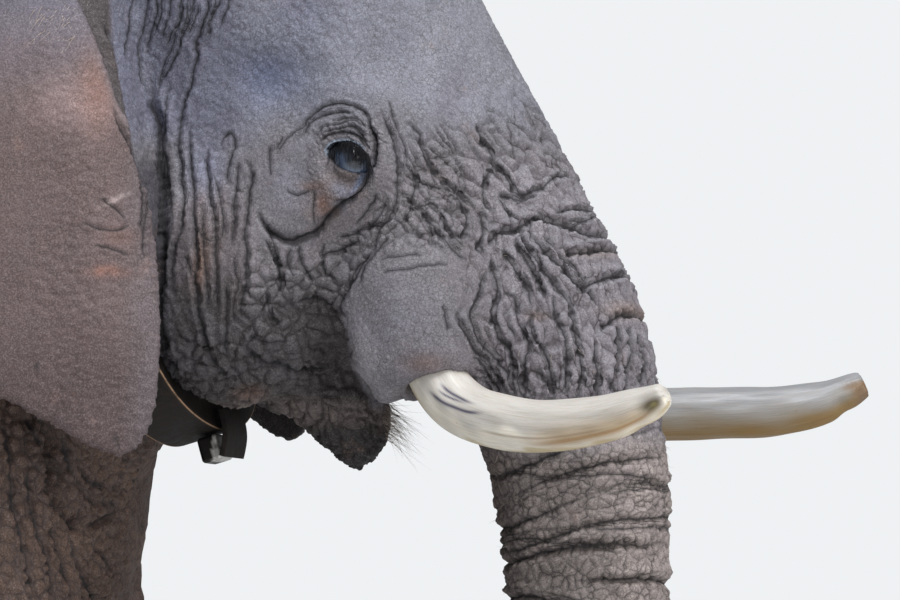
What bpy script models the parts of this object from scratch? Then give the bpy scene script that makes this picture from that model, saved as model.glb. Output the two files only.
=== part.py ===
"""A standing African bush elephant bull at life size, wearing a tracking collar.

+X is forward, +Y is the animal's left and +Z is up. The soles stand at z = 0.
The flesh is modelled as overlapping lofts, fused into one body and parted with thin cuts
into the parts a person would name. Ears, tusks, eyes, nails and collar are pieces of their own.
"""

import math

import bmesh
import bpy
import numpy as np
from mathutils import Matrix, Vector

# ---------------------------------------------------------------- driving dimensions (metres)
EYE = Vector((0.798, 0.275, 2.42))  # centre of the left eyeball
EYE_RADIUS = 0.032
GAP = 0.0003  # between two pieces that touch
FUSE_VOXEL = 0.022
FUSE_SMOOTHING = 7
FLESH_TRIANGLES = 2800
EAR_VOXEL = 0.0065
EAR_SMOOTHING = 4
EAR_TRIANGLES = 430
SMALLEST_SHELL = 0.02  # anything smaller that a cut leaves is a crumb

SKIN = ("elephant_skin", (0.20, 0.165, 0.150), 0.85, 0.0)
IVORY = ("ivory", (0.72, 0.62, 0.44), 0.35, 0.0)
NAIL = ("toenail", (0.42, 0.36, 0.28), 0.55, 0.0)
EYEBALL = ("eyeball", (0.05, 0.03, 0.02), 0.10, 0.0)
BELT = ("collar_belting", (0.06, 0.055, 0.05), 0.75, 0.0)
STEEL = ("collar_steel", (0.45, 0.45, 0.45), 0.35, 0.9)
HAIR = ("tail_hair", (0.03, 0.028, 0.026), 0.6, 0.0)


# ---------------------------------------------------------------- scene helpers
def clear_scene():
    for obj in list(bpy.data.objects):
        bpy.data.objects.remove(obj)


def collection(name, hidden=False):
    made = bpy.data.collections.new(name)
    bpy.context.scene.collection.children.link(made)
    made.hide_render = hidden
    return made


def material(spec):
    name, colour, roughness, metallic = spec
    made = bpy.data.materials.get(name)
    if made is None:
        made = bpy.data.materials.new(name)
        made.use_nodes = True
        shader = made.node_tree.nodes["Principled BSDF"]
        shader.inputs["Base Color"].default_value = (*colour, 1.0)
        shader.inputs["Roughness"].default_value = roughness
        shader.inputs["Metallic"].default_value = metallic
    return made


def add_object(name, mesh, where, spec=None):
    obj = bpy.data.objects.new(name, mesh)
    where.objects.link(obj)
    if spec:
        mesh.materials.clear()
        mesh.materials.append(material(spec))
    return obj


def mesh_from(name, points, faces):
    mesh = bpy.data.meshes.new(name)
    mesh.from_pydata([tuple(p) for p in points], [], faces)
    bm = bmesh.new()
    bm.from_mesh(mesh)
    bmesh.ops.recalc_face_normals(bm, faces=bm.faces)
    bm.to_mesh(mesh)
    bm.free()
    return mesh


def evaluated(obj):
    """A plain mesh of the object with its modifiers applied; the object keeps none."""
    graph = bpy.context.evaluated_depsgraph_get()
    mesh = bpy.data.meshes.new_from_object(obj.evaluated_get(graph))
    obj.modifiers.clear()
    obj.data = mesh
    return obj


def boolean(obj, cutter, operation="DIFFERENCE"):
    cut = obj.modifiers.new("cut", "BOOLEAN")
    cut.operation = operation
    cut.solver = "EXACT"
    cut.use_self = True
    cut.object = cutter
    bpy.context.view_layer.update()
    return evaluated(obj)


def joined(name, parts, where):
    """One object holding the shells of all parts, which are removed."""
    bm = bmesh.new()
    for part in parts:
        copy = part.data.copy()
        copy.transform(part.matrix_world)
        bm.from_mesh(copy)
        bpy.data.meshes.remove(copy)
        bpy.data.objects.remove(part)
    mesh = bpy.data.meshes.new(name)
    bm.to_mesh(mesh)
    bm.free()
    return add_object(name, mesh, where)


def grown(obj, by, where):
    """A copy whose surface stands out by a small clearance, to cut its neighbours with."""
    copy = add_object(obj.name + "_clearance", obj.data.copy(), where)
    copy.matrix_world = obj.matrix_world.copy()
    bm = bmesh.new()
    bm.from_mesh(copy.data)
    bm.normal_update()
    for vertex, normal in [(v, v.normal.copy()) for v in bm.verts]:
        vertex.co += normal * by * vertex.calc_shell_factor()
    bm.to_mesh(copy.data)
    bm.free()
    return copy


# ---------------------------------------------------------------- smooth lofts
def along(stations, count):
    """Rows between the stations on a Catmull-Rom curve, count for each span."""
    rows = np.array(stations, float)
    padded = np.vstack([2 * rows[0] - rows[1], rows, 2 * rows[-1] - rows[-2]])
    out = []
    for i in range(1, len(padded) - 2):
        p0, p1, p2, p3 = padded[i - 1 : i + 3]
        for t in np.arange(count) / count:
            out.append(
                0.5
                * (
                    2 * p1
                    + (p2 - p0) * t
                    + (2 * p0 - 5 * p1 + 4 * p2 - p3) * t * t
                    + (3 * p1 - p0 - 3 * p2 + p3) * t**3
                )
            )
    out.append(padded[-2])
    return np.array(out)


def power(value, exponent):
    return math.copysign(abs(value) ** exponent, value)


def loft(name, rings, where):
    """Closed tube through rings of points, all of one length, with flat ends."""
    sides = len(rings[0])
    points = [p for ring in rings for p in ring]
    faces = []
    for r in range(len(rings) - 1):
        for s in range(sides):
            t = (s + 1) % sides
            faces.append((r * sides + s, r * sides + t, (r + 1) * sides + t, (r + 1) * sides + s))
    faces.append(tuple(range(sides))[::-1])
    faces.append(tuple((len(rings) - 1) * sides + s for s in range(sides)))
    return add_object(name, mesh_from(name, points, faces), where)


def level_loft(name, stations, where, square=2.0, sides=40, spans=5):
    """Loft of level sections. A station is (z, front x, back x, middle x, middle y, half width)."""
    rings = []
    for z, front, back, middle, across, width in along(stations, spans):
        ring = []
        for s in range(sides):
            angle = 2 * math.pi * s / sides
            c = power(math.cos(angle), 2 / square)
            reach = front - middle if c > 0 else middle - back
            ring.append((middle + reach * c, across + width * power(math.sin(angle), 2 / square), z))
        rings.append(ring)
    return loft(name, rings, where)


def upright_loft(name, stations, where, ridge=1.75, belly=2.2, sides=40, spans=4):
    """Loft of upright sections along X. A station is (x, top z, bottom z, half width, share of widest)."""
    rings = []
    for x, top, bottom, width, widest in along(stations, spans):
        middle = bottom + (top - bottom) * widest
        ring = []
        for s in range(sides):
            angle = 2 * math.pi * s / sides
            up = math.sin(angle)
            bend = 2 / (ridge if up > 0 else belly)
            reach = top - middle if up > 0 else middle - bottom
            ring.append((x, width * power(math.cos(angle), bend), middle + reach * power(up, bend)))
        rings.append(ring)
    return loft(name, rings, where)


def limb(name, stations, where, sides=24, spans=5, square=2.0):
    """Loft round a bent line. A station is (x, y, z, half size fore and aft, half size across)."""
    rows = along(stations, spans)
    rings = []
    for i, row in enumerate(rows):
        before, after = rows[max(i - 1, 0)][:3], rows[min(i + 1, len(rows) - 1)][:3]
        run = Vector(after - before).normalized()
        side = Vector((0, 1, 0)) - run * run.y
        side.normalize()
        fore = side.cross(run)
        centre = Vector(row[:3])
        ring = []
        for s in range(sides):
            angle = 2 * math.pi * s / sides
            ring.append(
                centre
                + fore * row[3] * power(math.cos(angle), 2 / square)
                + side * row[4] * power(math.sin(angle), 2 / square)
            )
        rings.append(ring)
    return loft(name, rings, where)


def blob(name, centre, radii, where, turn=(0.0, 0.0, 0.0), segments=24):
    """Ellipsoid with its half sizes in radii, turned by degrees about X, Y and Z."""
    bm = bmesh.new()
    bmesh.ops.create_uvsphere(bm, u_segments=segments, v_segments=segments // 2, radius=1.0)
    mesh = bpy.data.meshes.new(name)
    bm.to_mesh(mesh)
    bm.free()
    angles = [math.radians(a) for a in turn]
    spin = Matrix.Identity(4)
    for angle, axis in zip(reversed(angles), "ZYX"):
        spin = spin @ Matrix.Rotation(angle, 4, axis)
    mesh.transform(Matrix.Translation(centre) @ spin @ Matrix.Diagonal((*radii, 1.0)))
    return add_object(name, mesh, where)


# ---------------------------------------------------------------- the body's forms
def torso(where):
    # x, top, bottom, half width, share of the height where it is widest
    barrel = [
        (0.320, 2.45, 1.78, 0.18, 0.50),
        (0.25, 2.78, 1.60, 0.35, 0.50),
        (0.10, 2.96, 1.47, 0.50, 0.48),
        (-0.15, 3.025, 1.39, 0.575, 0.45),
        (-0.45, 2.955, 1.28, 0.640, 0.42),
        (-0.80, 2.895, 1.21, 0.690, 0.41),
        (-1.15, 2.925, 1.21, 0.695, 0.42),
        (-1.48, 2.985, 1.32, 0.640, 0.46),
        (-1.75, 2.925, 1.50, 0.550, 0.50),
        (-1.98, 2.760, 1.68, 0.440, 0.50),
        (-2.12, 2.560, 1.86, 0.290, 0.50),
        (-2.18, 2.420, 2.04, 0.150, 0.50),
    ]
    return upright_loft("barrel", barrel, where)


def neck(where):
    stations = [
        (0.62, 2.78, 2.20, 0.24, 0.50),
        (0.50, 2.86, 2.080, 0.300, 0.50),
        (0.42, 2.865, 2.035, 0.320, 0.50),
        (0.36, 2.865, 1.980, 0.335, 0.50),
        (0.28, 2.870, 1.890, 0.360, 0.49),
        (0.12, 2.900, 1.800, 0.420, 0.48),
        (-0.20, 2.97, 1.66, 0.490, 0.48),
    ]
    return upright_loft("neck", stations, where, ridge=1.8, belly=1.9)


def cranium(where):
    # z, front x, back x, middle x, middle y, half width
    stations = [
        (3.020, 0.66, 0.48, 0.57, 0.0, 0.06),
        (3.000, 0.755, 0.40, 0.57, 0.0, 0.17),
        (2.940, 0.825, 0.32, 0.57, 0.0, 0.255),
        (2.830, 0.875, 0.26, 0.57, 0.0, 0.312),
        (2.680, 0.925, 0.25, 0.57, 0.0, 0.320),
        (2.520, 0.960, 0.29, 0.59, 0.0, 0.300),
        (2.380, 0.960, 0.36, 0.62, 0.0, 0.285),
        (2.240, 0.960, 0.44, 0.68, 0.0, 0.265),
        (2.150, 0.950, 0.56, 0.76, 0.0, 0.235),
    ]
    return level_loft("cranium", stations, where, square=2.15)


def trunk(where):
    # z, front x, back x, middle x, middle y, half width
    hanging = [
        (2.78, 0.880, 0.60, 0.72, 0.0, 0.180),
        (2.66, 0.949, 0.62, 0.78, 0.0, 0.200),
        (2.52, 1.026, 0.66, 0.84, 0.0, 0.215),
        (2.38, 1.095, 0.72, 0.90, 0.0, 0.222),
        (2.24, 1.168, 0.80, 0.98, 0.0, 0.215),
        (2.11, 1.205, 0.88, 1.04, 0.0, 0.196),
        (2.00, 1.222, 0.925, 1.075, 0.0, 0.170),
        (1.90, 1.230, 0.955, 1.092, 0.0, 0.156),
        (1.75, 1.225, 0.972, 1.098, 0.0, 0.145),
        (1.50, 1.210, 0.978, 1.094, 0.0, 0.132),
        (1.20, 1.178, 0.968, 1.073, 0.0, 0.116),
        (0.90, 1.135, 0.952, 1.044, 0.0, 0.098),
        (0.68, 1.098, 0.938, 1.018, 0.0, 0.085),
    ]
    # x, y, z, half size fore and aft, half size across
    tip = [
        (1.030, 0.0, 0.78, 0.082, 0.088),
        (1.000, 0.0, 0.55, 0.073, 0.078),
        (0.965, 0.0, 0.36, 0.064, 0.070),
        (0.905, 0.0, 0.225, 0.058, 0.065),
        (0.820, 0.0, 0.175, 0.053, 0.063),
        (0.765, 0.0, 0.190, 0.043, 0.058),
    ]
    return [level_loft("trunk", hanging, where, square=2.1), limb("trunk_tip", tip, where)]


def jaw(where):
    # the lower jaw narrows to the pointed lower lip
    stations = [
        (0.42, 0.0, 2.30, 0.160, 0.21),
        (0.51, 0.0, 2.225, 0.135, 0.205),
        (0.60, 0.0, 2.155, 0.100, 0.165),
        (0.668, 0.0, 2.095, 0.080, 0.115),
        (0.712, 0.0, 2.035, 0.070, 0.088),
        (0.724, 0.0, 1.985, 0.052, 0.056),
        (0.720, 0.0, 1.945, 0.022, 0.024),
    ]
    return limb("jaw", stations, where)


def head_sides(side, where):
    """Cheek muscle, brow, tusk sheath and upper lip of one side; side is +1 on the left."""
    return [
        blob("cheek", (0.555, 0.165 * side, 2.275), (0.175, 0.150, 0.235), where, turn=(0, -8, 0)),
        blob("cheekbone", (0.66, 0.215 * side, 2.43), (0.22, 0.085, 0.10), where, turn=(0, 8, 0)),
        blob("brow", (0.80, 0.225 * side, 2.480), (0.115, 0.075, 0.080), where, turn=(0, 20, 0)),
        blob("eye_mound", (0.788, 0.243 * side, 2.412), (0.082, 0.068, 0.082), where, turn=(0, 20, 0)),
        limb(
            "sheath",
            [
                (0.82, 0.140 * side, 2.44, 0.120, 0.10),
                (0.86, 0.172 * side, 2.31, 0.130, 0.108),
                (0.882, 0.195 * side, 2.20, 0.122, 0.100),
                (0.892, 0.206 * side, 2.120, 0.100, 0.084),
                (0.895, 0.212 * side, 2.065, 0.070, 0.066),
            ],
            where,
        ),
        blob("lip_lobe", (0.832, 0.195 * side, 2.128), (0.050, 0.064, 0.112), where, turn=(0, -20, 0)),
    ]


FORELEG_X = {1: 0.02, -1: 0.14}
HINDLEG_X = {1: -1.60, -1: -1.76}
FORELEG_Y = 0.335
HINDLEG_Y = 0.315


def foreleg(side, where):
    x, y = FORELEG_X[side], FORELEG_Y * side
    # x, y, z, half size fore and aft, half size across
    stations = [
        (-0.06 + x, y * 0.86, 2.20, 0.24, 0.15),
        (-0.03 + x, y * 0.96, 1.80, 0.250, 0.19),
        (0.000 + x, y, 1.50, 0.232, 0.185),
        (0.015 + x, y, 1.22, 0.198, 0.168),
        (0.025 + x, y, 0.95, 0.172, 0.152),
        (0.030 + x, y, 0.74, 0.174, 0.158),
        (0.010 + x, y, 0.52, 0.152, 0.146),
        (0.000 + x, y, 0.30, 0.160, 0.154),
        (0.012 + x, y, 0.14, 0.196, 0.184),
        (0.022 + x, y, 0.03, 0.228, 0.210),
        (0.022 + x, y, -0.08, 0.228, 0.210),
    ]
    return limb("foreleg", stations, where, square=2.1)


def hindleg(side, where):
    x, y = HINDLEG_X[side], HINDLEG_Y * side
    stations = [
        (0.06 + x, y * 0.90, 2.50, 0.20, 0.12),
        (-0.02 + x, y * 1.00, 2.10, 0.355, 0.215),
        (0.020 + x, y * 1.06, 1.72, 0.345, 0.228),
        (0.090 + x, y * 1.08, 1.40, 0.262, 0.188),
        (0.100 + x, y * 1.08, 1.14, 0.205, 0.162),
        (0.030 + x, y * 1.06, 0.86, 0.160, 0.142),
        (-0.045 + x, y * 1.04, 0.56, 0.142, 0.132),
        (-0.050 + x, y * 1.02, 0.32, 0.147, 0.137),
        (-0.010 + x, y * 1.02, 0.14, 0.184, 0.162),
        (0.015 + x, y * 1.02, 0.03, 0.216, 0.182),
        (0.015 + x, y * 1.02, -0.08, 0.216, 0.182),
    ]
    return limb("hindleg", stations, where, square=2.1)


def tail(where):
    stations = [
        (-2.04, 0.0, 2.58, 0.090, 0.085),
        (-2.22, 0.0, 2.44, 0.072, 0.064),
        (-2.32, 0.0, 2.18, 0.052, 0.048),
        (-2.335, 0.0, 1.84, 0.040, 0.036),
        (-2.31, 0.0, 1.50, 0.031, 0.029),
        (-2.29, 0.0, 1.22, 0.026, 0.026),
    ]
    return limb("tail", stations, where, sides=16)


def fused_body(where):
    """All flesh but the ears as one smooth closed mesh, in few facets and flat under the feet."""
    parts = [torso(where), neck(where), cranium(where), *trunk(where), jaw(where), tail(where)]
    for side in (1, -1):
        parts += head_sides(side, where)
        parts += [foreleg(side, where), hindleg(side, where)]
    body = joined("body", parts, where)
    fuse = body.modifiers.new("fuse", "REMESH")
    fuse.mode = "VOXEL"
    fuse.voxel_size = FUSE_VOXEL
    soften = body.modifiers.new("soften", "SMOOTH")
    soften.factor = 0.6
    soften.iterations = FUSE_SMOOTHING
    evaluated(body)
    fewer(body, FLESH_TRIANGLES)
    below = box("below_floor", (-0.4, 0, -0.5), (3.0, 2.0, 0.5), where)
    boolean(body, below)
    bpy.data.objects.remove(below)
    return body


def smooth_step(low, high, value):
    t = min(max((value - low) / (high - low), 0.0), 1.0)
    return t * t * (3 - 2 * t)


def fewer(obj, triangles):
    """Decimates to a number of triangles."""
    count = sum(len(p.vertices) - 2 for p in obj.data.polygons)
    thin = obj.modifiers.new("thin", "DECIMATE")
    thin.ratio = triangles / count
    thin.use_collapse_triangulate = True
    return evaluated(obj)


def box(name, centre, half, where):
    bm = bmesh.new()
    bmesh.ops.create_cube(bm, size=2.0)
    mesh = bpy.data.meshes.new(name)
    bm.to_mesh(mesh)
    bm.free()
    mesh.transform(Matrix.Translation(centre) @ Matrix.Diagonal((*half, 1.0)))
    return add_object(name, mesh, where)


# ---------------------------------------------------------------- ears
# outline of the ear seen from its side, as (x, z), from the front rim up, back and round
EAR_OUTLINE = [
    (0.508, 2.440),
    (0.472, 2.580),
    (0.400, 2.720),
    (0.290, 2.860),
    (0.140, 2.980),
    (-0.040, 3.030),
    (-0.220, 2.990),
    (-0.360, 2.880),
    (-0.440, 2.720),
    (-0.455, 2.540),
    (-0.400, 2.380),
    (-0.280, 2.260),
    (-0.120, 2.180),
    (0.060, 2.125),
    (0.220, 2.082),
    (0.350, 2.020),
    (0.435, 1.972),
    (0.487, 1.957),
    (0.522, 1.995),
    (0.536, 2.080),
    (0.537, 2.200),
    (0.526, 2.330),
]
EAR_ROOT = (0.40, 2.52)  # the flap's curve starts from here
LEFT_LOBE_RISE = 0.062
EAR_SPREAD = {1: 0.44, -1: 0.36}  # how far the back edge stands out, over its length


def ear_side(side, x, z):
    """Distance of the ear's middle surface from the body's middle plane."""
    back = (0.545 - x) / 1.0
    out = 0.425 + EAR_SPREAD[side] * back * (1.15 - 0.35 * back)
    # the upper half leans in to the top of the head, the front rim bends in to the cheek
    out -= 0.16 * smooth_step(2.45, 3.05, z) * (1 - 0.35 * back)
    out -= 0.050 * smooth_step(0.44, 0.545, x) * smooth_step(2.05, 2.35, z)
    # a soft wave down the free edge
    out += 0.018 * math.sin(7.5 * z + 1.5 * x) * smooth_step(0.1, 0.8, back)
    return out


def ear(side, where):
    outline = along([*EAR_OUTLINE, EAR_OUTLINE[0]], 3)[:-1]
    shares = (1.0, 0.985, 0.93, 0.80, 0.62, 0.42, 0.20)
    points, faces = [], []
    count = len(outline)
    for sheet in (1, -1):
        for share in shares:
            for px, pz in outline:
                if side > 0:  # the left lobe is the shorter
                    pz += LEFT_LOBE_RISE * (1 - smooth_step(1.98, 2.45, pz))
                    px -= 0.045 * (1 - smooth_step(1.98, 2.45, pz))
                x = EAR_ROOT[0] + (px - EAR_ROOT[0]) * share
                z = EAR_ROOT[1] + (pz - EAR_ROOT[1]) * share
                rim = math.sqrt(max(1 - share**16, 0.0))
                thick = (0.007 + 0.016 * (1 - share) + 0.006 * smooth_step(0.30, 0.50, x)) * rim
                points.append((x, side * (ear_side(side, x, z) + sheet * thick), z))
        points.append((EAR_ROOT[0], side * (ear_side(side, *EAR_ROOT) + sheet * 0.024), EAR_ROOT[1]))
    sheet_size = len(shares) * count + 1
    for sheet in (0, 1):
        start = sheet * sheet_size
        for r in range(len(shares) - 1):
            for s in range(count):
                t = (s + 1) % count
                a, b = start + r * count, start + (r + 1) * count
                faces.append((a + s, a + t, b + t, b + s))
        last = start + (len(shares) - 1) * count
        for s in range(count):
            faces.append((last + s, last + (s + 1) % count, start + sheet_size - 1))
    bm = bmesh.new()
    bm.from_mesh(mesh_from("ear", points, faces))
    bmesh.ops.remove_doubles(bm, verts=bm.verts, dist=1e-5)
    bmesh.ops.recalc_face_normals(bm, faces=bm.faces)
    mesh = bpy.data.meshes.new("ear_flap")
    bm.to_mesh(mesh)
    bm.free()
    flap = add_object("ear_flap", mesh, where)
    root = limb(
        "ear_root",
        [
            (0.355, 0.245 * side, 2.830, 0.030, 0.060),
            (0.385, 0.300 * side, 2.740, 0.042, 0.085),
            (0.407, 0.345 * side, 2.600, 0.045, 0.095),
            (0.436, 0.360 * side, 2.450, 0.042, 0.100),
            (0.456, 0.345 * side, 2.350, 0.034, 0.095),
            (0.464, 0.320 * side, 2.285, 0.022, 0.070),
        ],
        where,
    )
    whole = joined(f"ear_{'left' if side > 0 else 'right'}", [flap, root], where)
    fuse = whole.modifiers.new("fuse", "REMESH")
    fuse.mode = "VOXEL"
    fuse.voxel_size = EAR_VOXEL
    soften = whole.modifiers.new("soften", "SMOOTH")
    soften.factor = 0.5
    soften.iterations = EAR_SMOOTHING
    evaluated(whole)
    return fewer(whole, EAR_TRIANGLES)


# ---------------------------------------------------------------- eyes, tusks, nails and tail hair
def side_name(side):
    return "left" if side > 0 else "right"


def eye(side, where):
    bm = bmesh.new()
    bmesh.ops.create_uvsphere(bm, u_segments=12, v_segments=6, radius=EYE_RADIUS)
    mesh = bpy.data.meshes.new("eye")
    bm.to_mesh(mesh)
    bm.free()
    mesh.transform(Matrix.Translation((EYE.x, EYE.y * side, EYE.z)))
    return add_object(f"eye_{side_name(side)}", mesh, where, EYEBALL)


# x, y outward, z, half thickness; the right tusk is worn shorter than the left
TUSK_LINE = {
    -1: [
        (0.868, 0.192, 2.165, 0.040),
        (0.902, 0.216, 2.088, 0.046),
        (0.973, 0.250, 2.026, 0.047),
        (1.085, 0.295, 2.002, 0.0455),
        (1.195, 0.330, 2.007, 0.041),
        (1.270, 0.350, 2.025, 0.034),
        (1.312, 0.360, 2.041, 0.024),
    ],
    1: [
        (0.868, 0.192, 2.165, 0.040),
        (0.902, 0.216, 2.095, 0.045),
        (0.975, 0.250, 2.054, 0.046),
        (1.090, 0.290, 2.052, 0.045),
        (1.218, 0.325, 2.054, 0.043),
        (1.330, 0.350, 2.057, 0.0405),
        (1.410, 0.368, 2.071, 0.035),
        (1.468, 0.380, 2.098, 0.024),
    ],
}


def tusk(side, where):
    stations = [(x, y * side, z, r, r * 0.96) for x, y, z, r in TUSK_LINE[side]]
    made = limb(f"tusk_{side_name(side)}", stations, where, sides=10, spans=2)
    made.data.materials.append(material(IVORY))
    return made


FORE_NAILS = (-62, -22, 18, 60)  # degrees round the foot from straight ahead, outward positive
HIND_NAILS = (-38, 2, 44)
NAIL_HALF = (0.020, 0.046, 0.044)  # half sizes outward, round the foot and upward
NAIL_LEAN = 12


def nails(side, end, where):
    """The toenails of one foot, half sunk in its front and outer rim."""
    if end == "fore":
        x, y, angles, reach = FORELEG_X[side] + 0.022, FORELEG_Y * side, FORE_NAILS, (0.222, 0.203)
    else:
        x, y, angles, reach = HINDLEG_X[side] + 0.015, HINDLEG_Y * 1.02 * side, HIND_NAILS, (0.210, 0.176)
    made = []
    for number, degrees in enumerate(angles, 1):
        a = math.radians(degrees)
        centre = (x + reach[0] * math.cos(a), y + side * reach[1] * math.sin(a), 0.052)
        outward = math.degrees(math.atan2(side * math.sin(a) / reach[1], math.cos(a) / reach[0]))
        name = f"nail_{end}_{side_name(side)}_{number}"
        nail = blob(name, centre, NAIL_HALF, where, turn=(0, -NAIL_LEAN, outward), segments=8)
        nail.data.materials.append(material(NAIL))
        made.append(nail)
    return made


def tail_tuft(where):
    stations = [
        (-2.293, 0.0, 1.34, 0.018, 0.018),
        (-2.290, 0.0, 1.22, 0.045, 0.034),
        (-2.285, 0.0, 1.08, 0.052, 0.034),
        (-2.280, 0.0, 0.94, 0.040, 0.026),
        (-2.276, 0.0, 0.83, 0.016, 0.012),
    ]
    made = limb("tail_hair", stations, where, sides=8, spans=1)
    made.data.materials.append(material(HAIR))
    return made


# ---------------------------------------------------------------- the collar
BELT_TOP = Vector((0.200, 0.0, 2.90))
BELT_BOTTOM = Vector((0.452, 0.0, 2.010))
BELT_WIDTH = 0.095
BELT_THICKNESS = 0.010
BELT_CLEARANCE = 0.006
BELT_SLACK = 0.006  # how much further the belt hangs off the throat
BELT_EASE = 0.002  # makes up for the corners that the rounding takes off
BELT_STEPS = 36
SEAT = 0.0012  # between the belt's faceted outside and what is bolted to it
LOOSE_END_WIDTH = 0.105
LOOSE_END_THICKNESS = 0.009


def belt_frame():
    middle = (BELT_TOP + BELT_BOTTOM) / 2
    up = (BELT_TOP - BELT_BOTTOM).normalized()
    return middle, up, Vector((0, 1, 0)).cross(up).normalized()  # the last points forward along the neck


def belt_line(body):
    """Distances of the belt's inner face from its middle, following the neck but never turning in."""
    middle, up, run = belt_frame()
    inverse = body.matrix_world.inverted()
    reaches = []
    for step in range(BELT_STEPS):
        a = 2 * math.pi * step / BELT_STEPS
        way = up * math.cos(a) + Vector((0, 1, 0)) * math.sin(a)
        far = 0.0
        for share in (-0.65, -0.35, 0.0, 0.35, 0.65):
            start = middle + run * share * BELT_WIDTH
            hit, place, _, _ = body.ray_cast(inverse @ (start + way * 0.62), -way, distance=0.62)
            if hit:
                far = max(far, (place - start).dot(way))
        reaches.append(far)
    turns = [2 * math.pi * i / BELT_STEPS for i in range(BELT_STEPS)]
    points = [(r * math.cos(a), r * math.sin(a)) for r, a in zip(reaches, turns)]
    # a taut belt bridges hollows: push each point out to the widest chord between its neighbours
    tight = []
    for i, a in enumerate(turns):
        reach = reaches[i]
        for before in range(1, 7):
            for after in range(1, 7):
                p, q = points[i - before], points[(i + after) % BELT_STEPS]
                cross = p[0] * q[1] - p[1] * q[0]
                along_chord = math.cos(a) * (q[1] - p[1]) - math.sin(a) * (q[0] - p[0])
                if abs(along_chord) > 1e-6:
                    reach = max(reach, cross / along_chord)
        slack = BELT_SLACK * smooth_step(0.2, 1.0, -math.cos(a))
        tight.append(reach + BELT_CLEARANCE + slack)
    after = tight[1:] + tight[:1]
    return [(2 * tight[i] + tight[i - 1] + after[i]) / 4 + BELT_EASE for i in range(BELT_STEPS)]


def belt(body, where):
    middle, up, run = belt_frame()
    reaches = belt_line(body)
    points, faces = [], []
    for step, reach in enumerate(reaches):
        a = 2 * math.pi * step / BELT_STEPS
        way = up * math.cos(a) + Vector((0, 1, 0)) * math.sin(a)
        for across, out in ((-0.5, 0), (-0.5, 1), (0.5, 1), (0.5, 0)):
            points.append(middle + run * across * BELT_WIDTH + way * (reach + out * BELT_THICKNESS))
    for step in range(BELT_STEPS):
        a, b = step * 4, ((step + 1) % BELT_STEPS) * 4
        for k in range(4):
            n = (k + 1) % 4
            faces.append((a + k, a + n, b + n, b + k))
    made = add_object("collar_belt", mesh_from("collar_belt", points, faces), where, BELT)
    return made, reaches


def collar_fittings(reaches, where):
    """The steel counterweight under the throat, the belt's loose end beside it and the unit on the nape."""
    middle, up, run = belt_frame()
    low = middle - up * (reaches[BELT_STEPS // 2] + BELT_THICKNESS)
    high = middle + up * (reaches[0] + BELT_THICKNESS)

    def block(name, centre, half, spec, bevel):
        made = box(name, (0, 0, 0), half, where)
        turn = Matrix((run, Vector((0, 1, 0)), up)).transposed().to_4x4()
        bm = bmesh.new()
        bm.from_mesh(made.data)
        bmesh.ops.bevel(bm, geom=bm.edges, offset=bevel, segments=1, affect="EDGES")
        bmesh.ops.transform(bm, matrix=Matrix.Translation(centre) @ turn, verts=bm.verts)
        bm.to_mesh(made.data)
        bm.free()
        made.data.materials.append(material(spec))
        return made

    weight_half = (0.018, 0.030, 0.021)
    unit_half = (0.048, 0.070, 0.024)
    weight_at = low + run * (BELT_WIDTH / 2 - 0.024) - up * (weight_half[2] + SEAT)
    return [
        block("collar_counterweight", weight_at, weight_half, STEEL, 0.004),
        block("collar_unit", high + up * (unit_half[2] + SEAT), unit_half, BELT, 0.010),
    ]


def collar_loose_end(reaches, where):
    """The strap end that hangs across the front of the counterweight, curling back at the bottom."""
    middle, up, run = belt_frame()
    corner = middle - up * (reaches[BELT_STEPS // 2] + BELT_THICKNESS / 2) + run * BELT_WIDTH / 2
    # forward of and above the belt's front edge, and the slope of the strap's face in degrees
    path = ((0.0095, 0.030, 20), (0.016, 0.008, 8), (0.0185, -0.016, -4), (0.0125, -0.046, -20))
    rings = []
    for forward, rise, slope in along(path, 2):
        face = Vector((math.cos(math.radians(slope)), 0, math.sin(math.radians(slope)))) * LOOSE_END_THICKNESS / 2
        centre = corner + Vector((forward, 0, rise))
        side = Vector((0, LOOSE_END_WIDTH / 2, 0))
        rings.append([centre - side - face, centre - side + face, centre + side + face, centre + side - face])
    made = loft("collar_loose_end", rings, where)
    made.data.materials.append(material(BELT))
    return made


# ---------------------------------------------------------------- parting the flesh
def thin_sheet(line, half_width, middle_y=0.0):
    """A sheet as thin as the gap that follows a line of (x, z) points and runs across the body."""
    line = [Vector(p) for p in line]
    rims = []
    for i, point in enumerate(line):
        run = (line[min(i + 1, len(line) - 1)] - line[max(i - 1, 0)]).normalized()
        rims.append((point, Vector((-run.y, run.x)) * GAP / 2))
    loop = [p + n for p, n in rims] + [p - n for p, n in reversed(rims)]
    points = [(p.x, middle_y + y, p.y) for y in (-half_width, half_width) for p in loop]
    count = len(loop)
    faces = [(i, (i + 1) % count, count + (i + 1) % count, count + i) for i in range(count)]
    for side in (0, 1):
        for k in range(len(line) - 1):
            quad = (k, k + 1, count - 2 - k, count - 1 - k)
            faces.append(tuple(side * count + q for q in quad))
    return add_object("sheet", mesh_from("sheet", points, faces), bpy.context.scene.collection)


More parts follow.
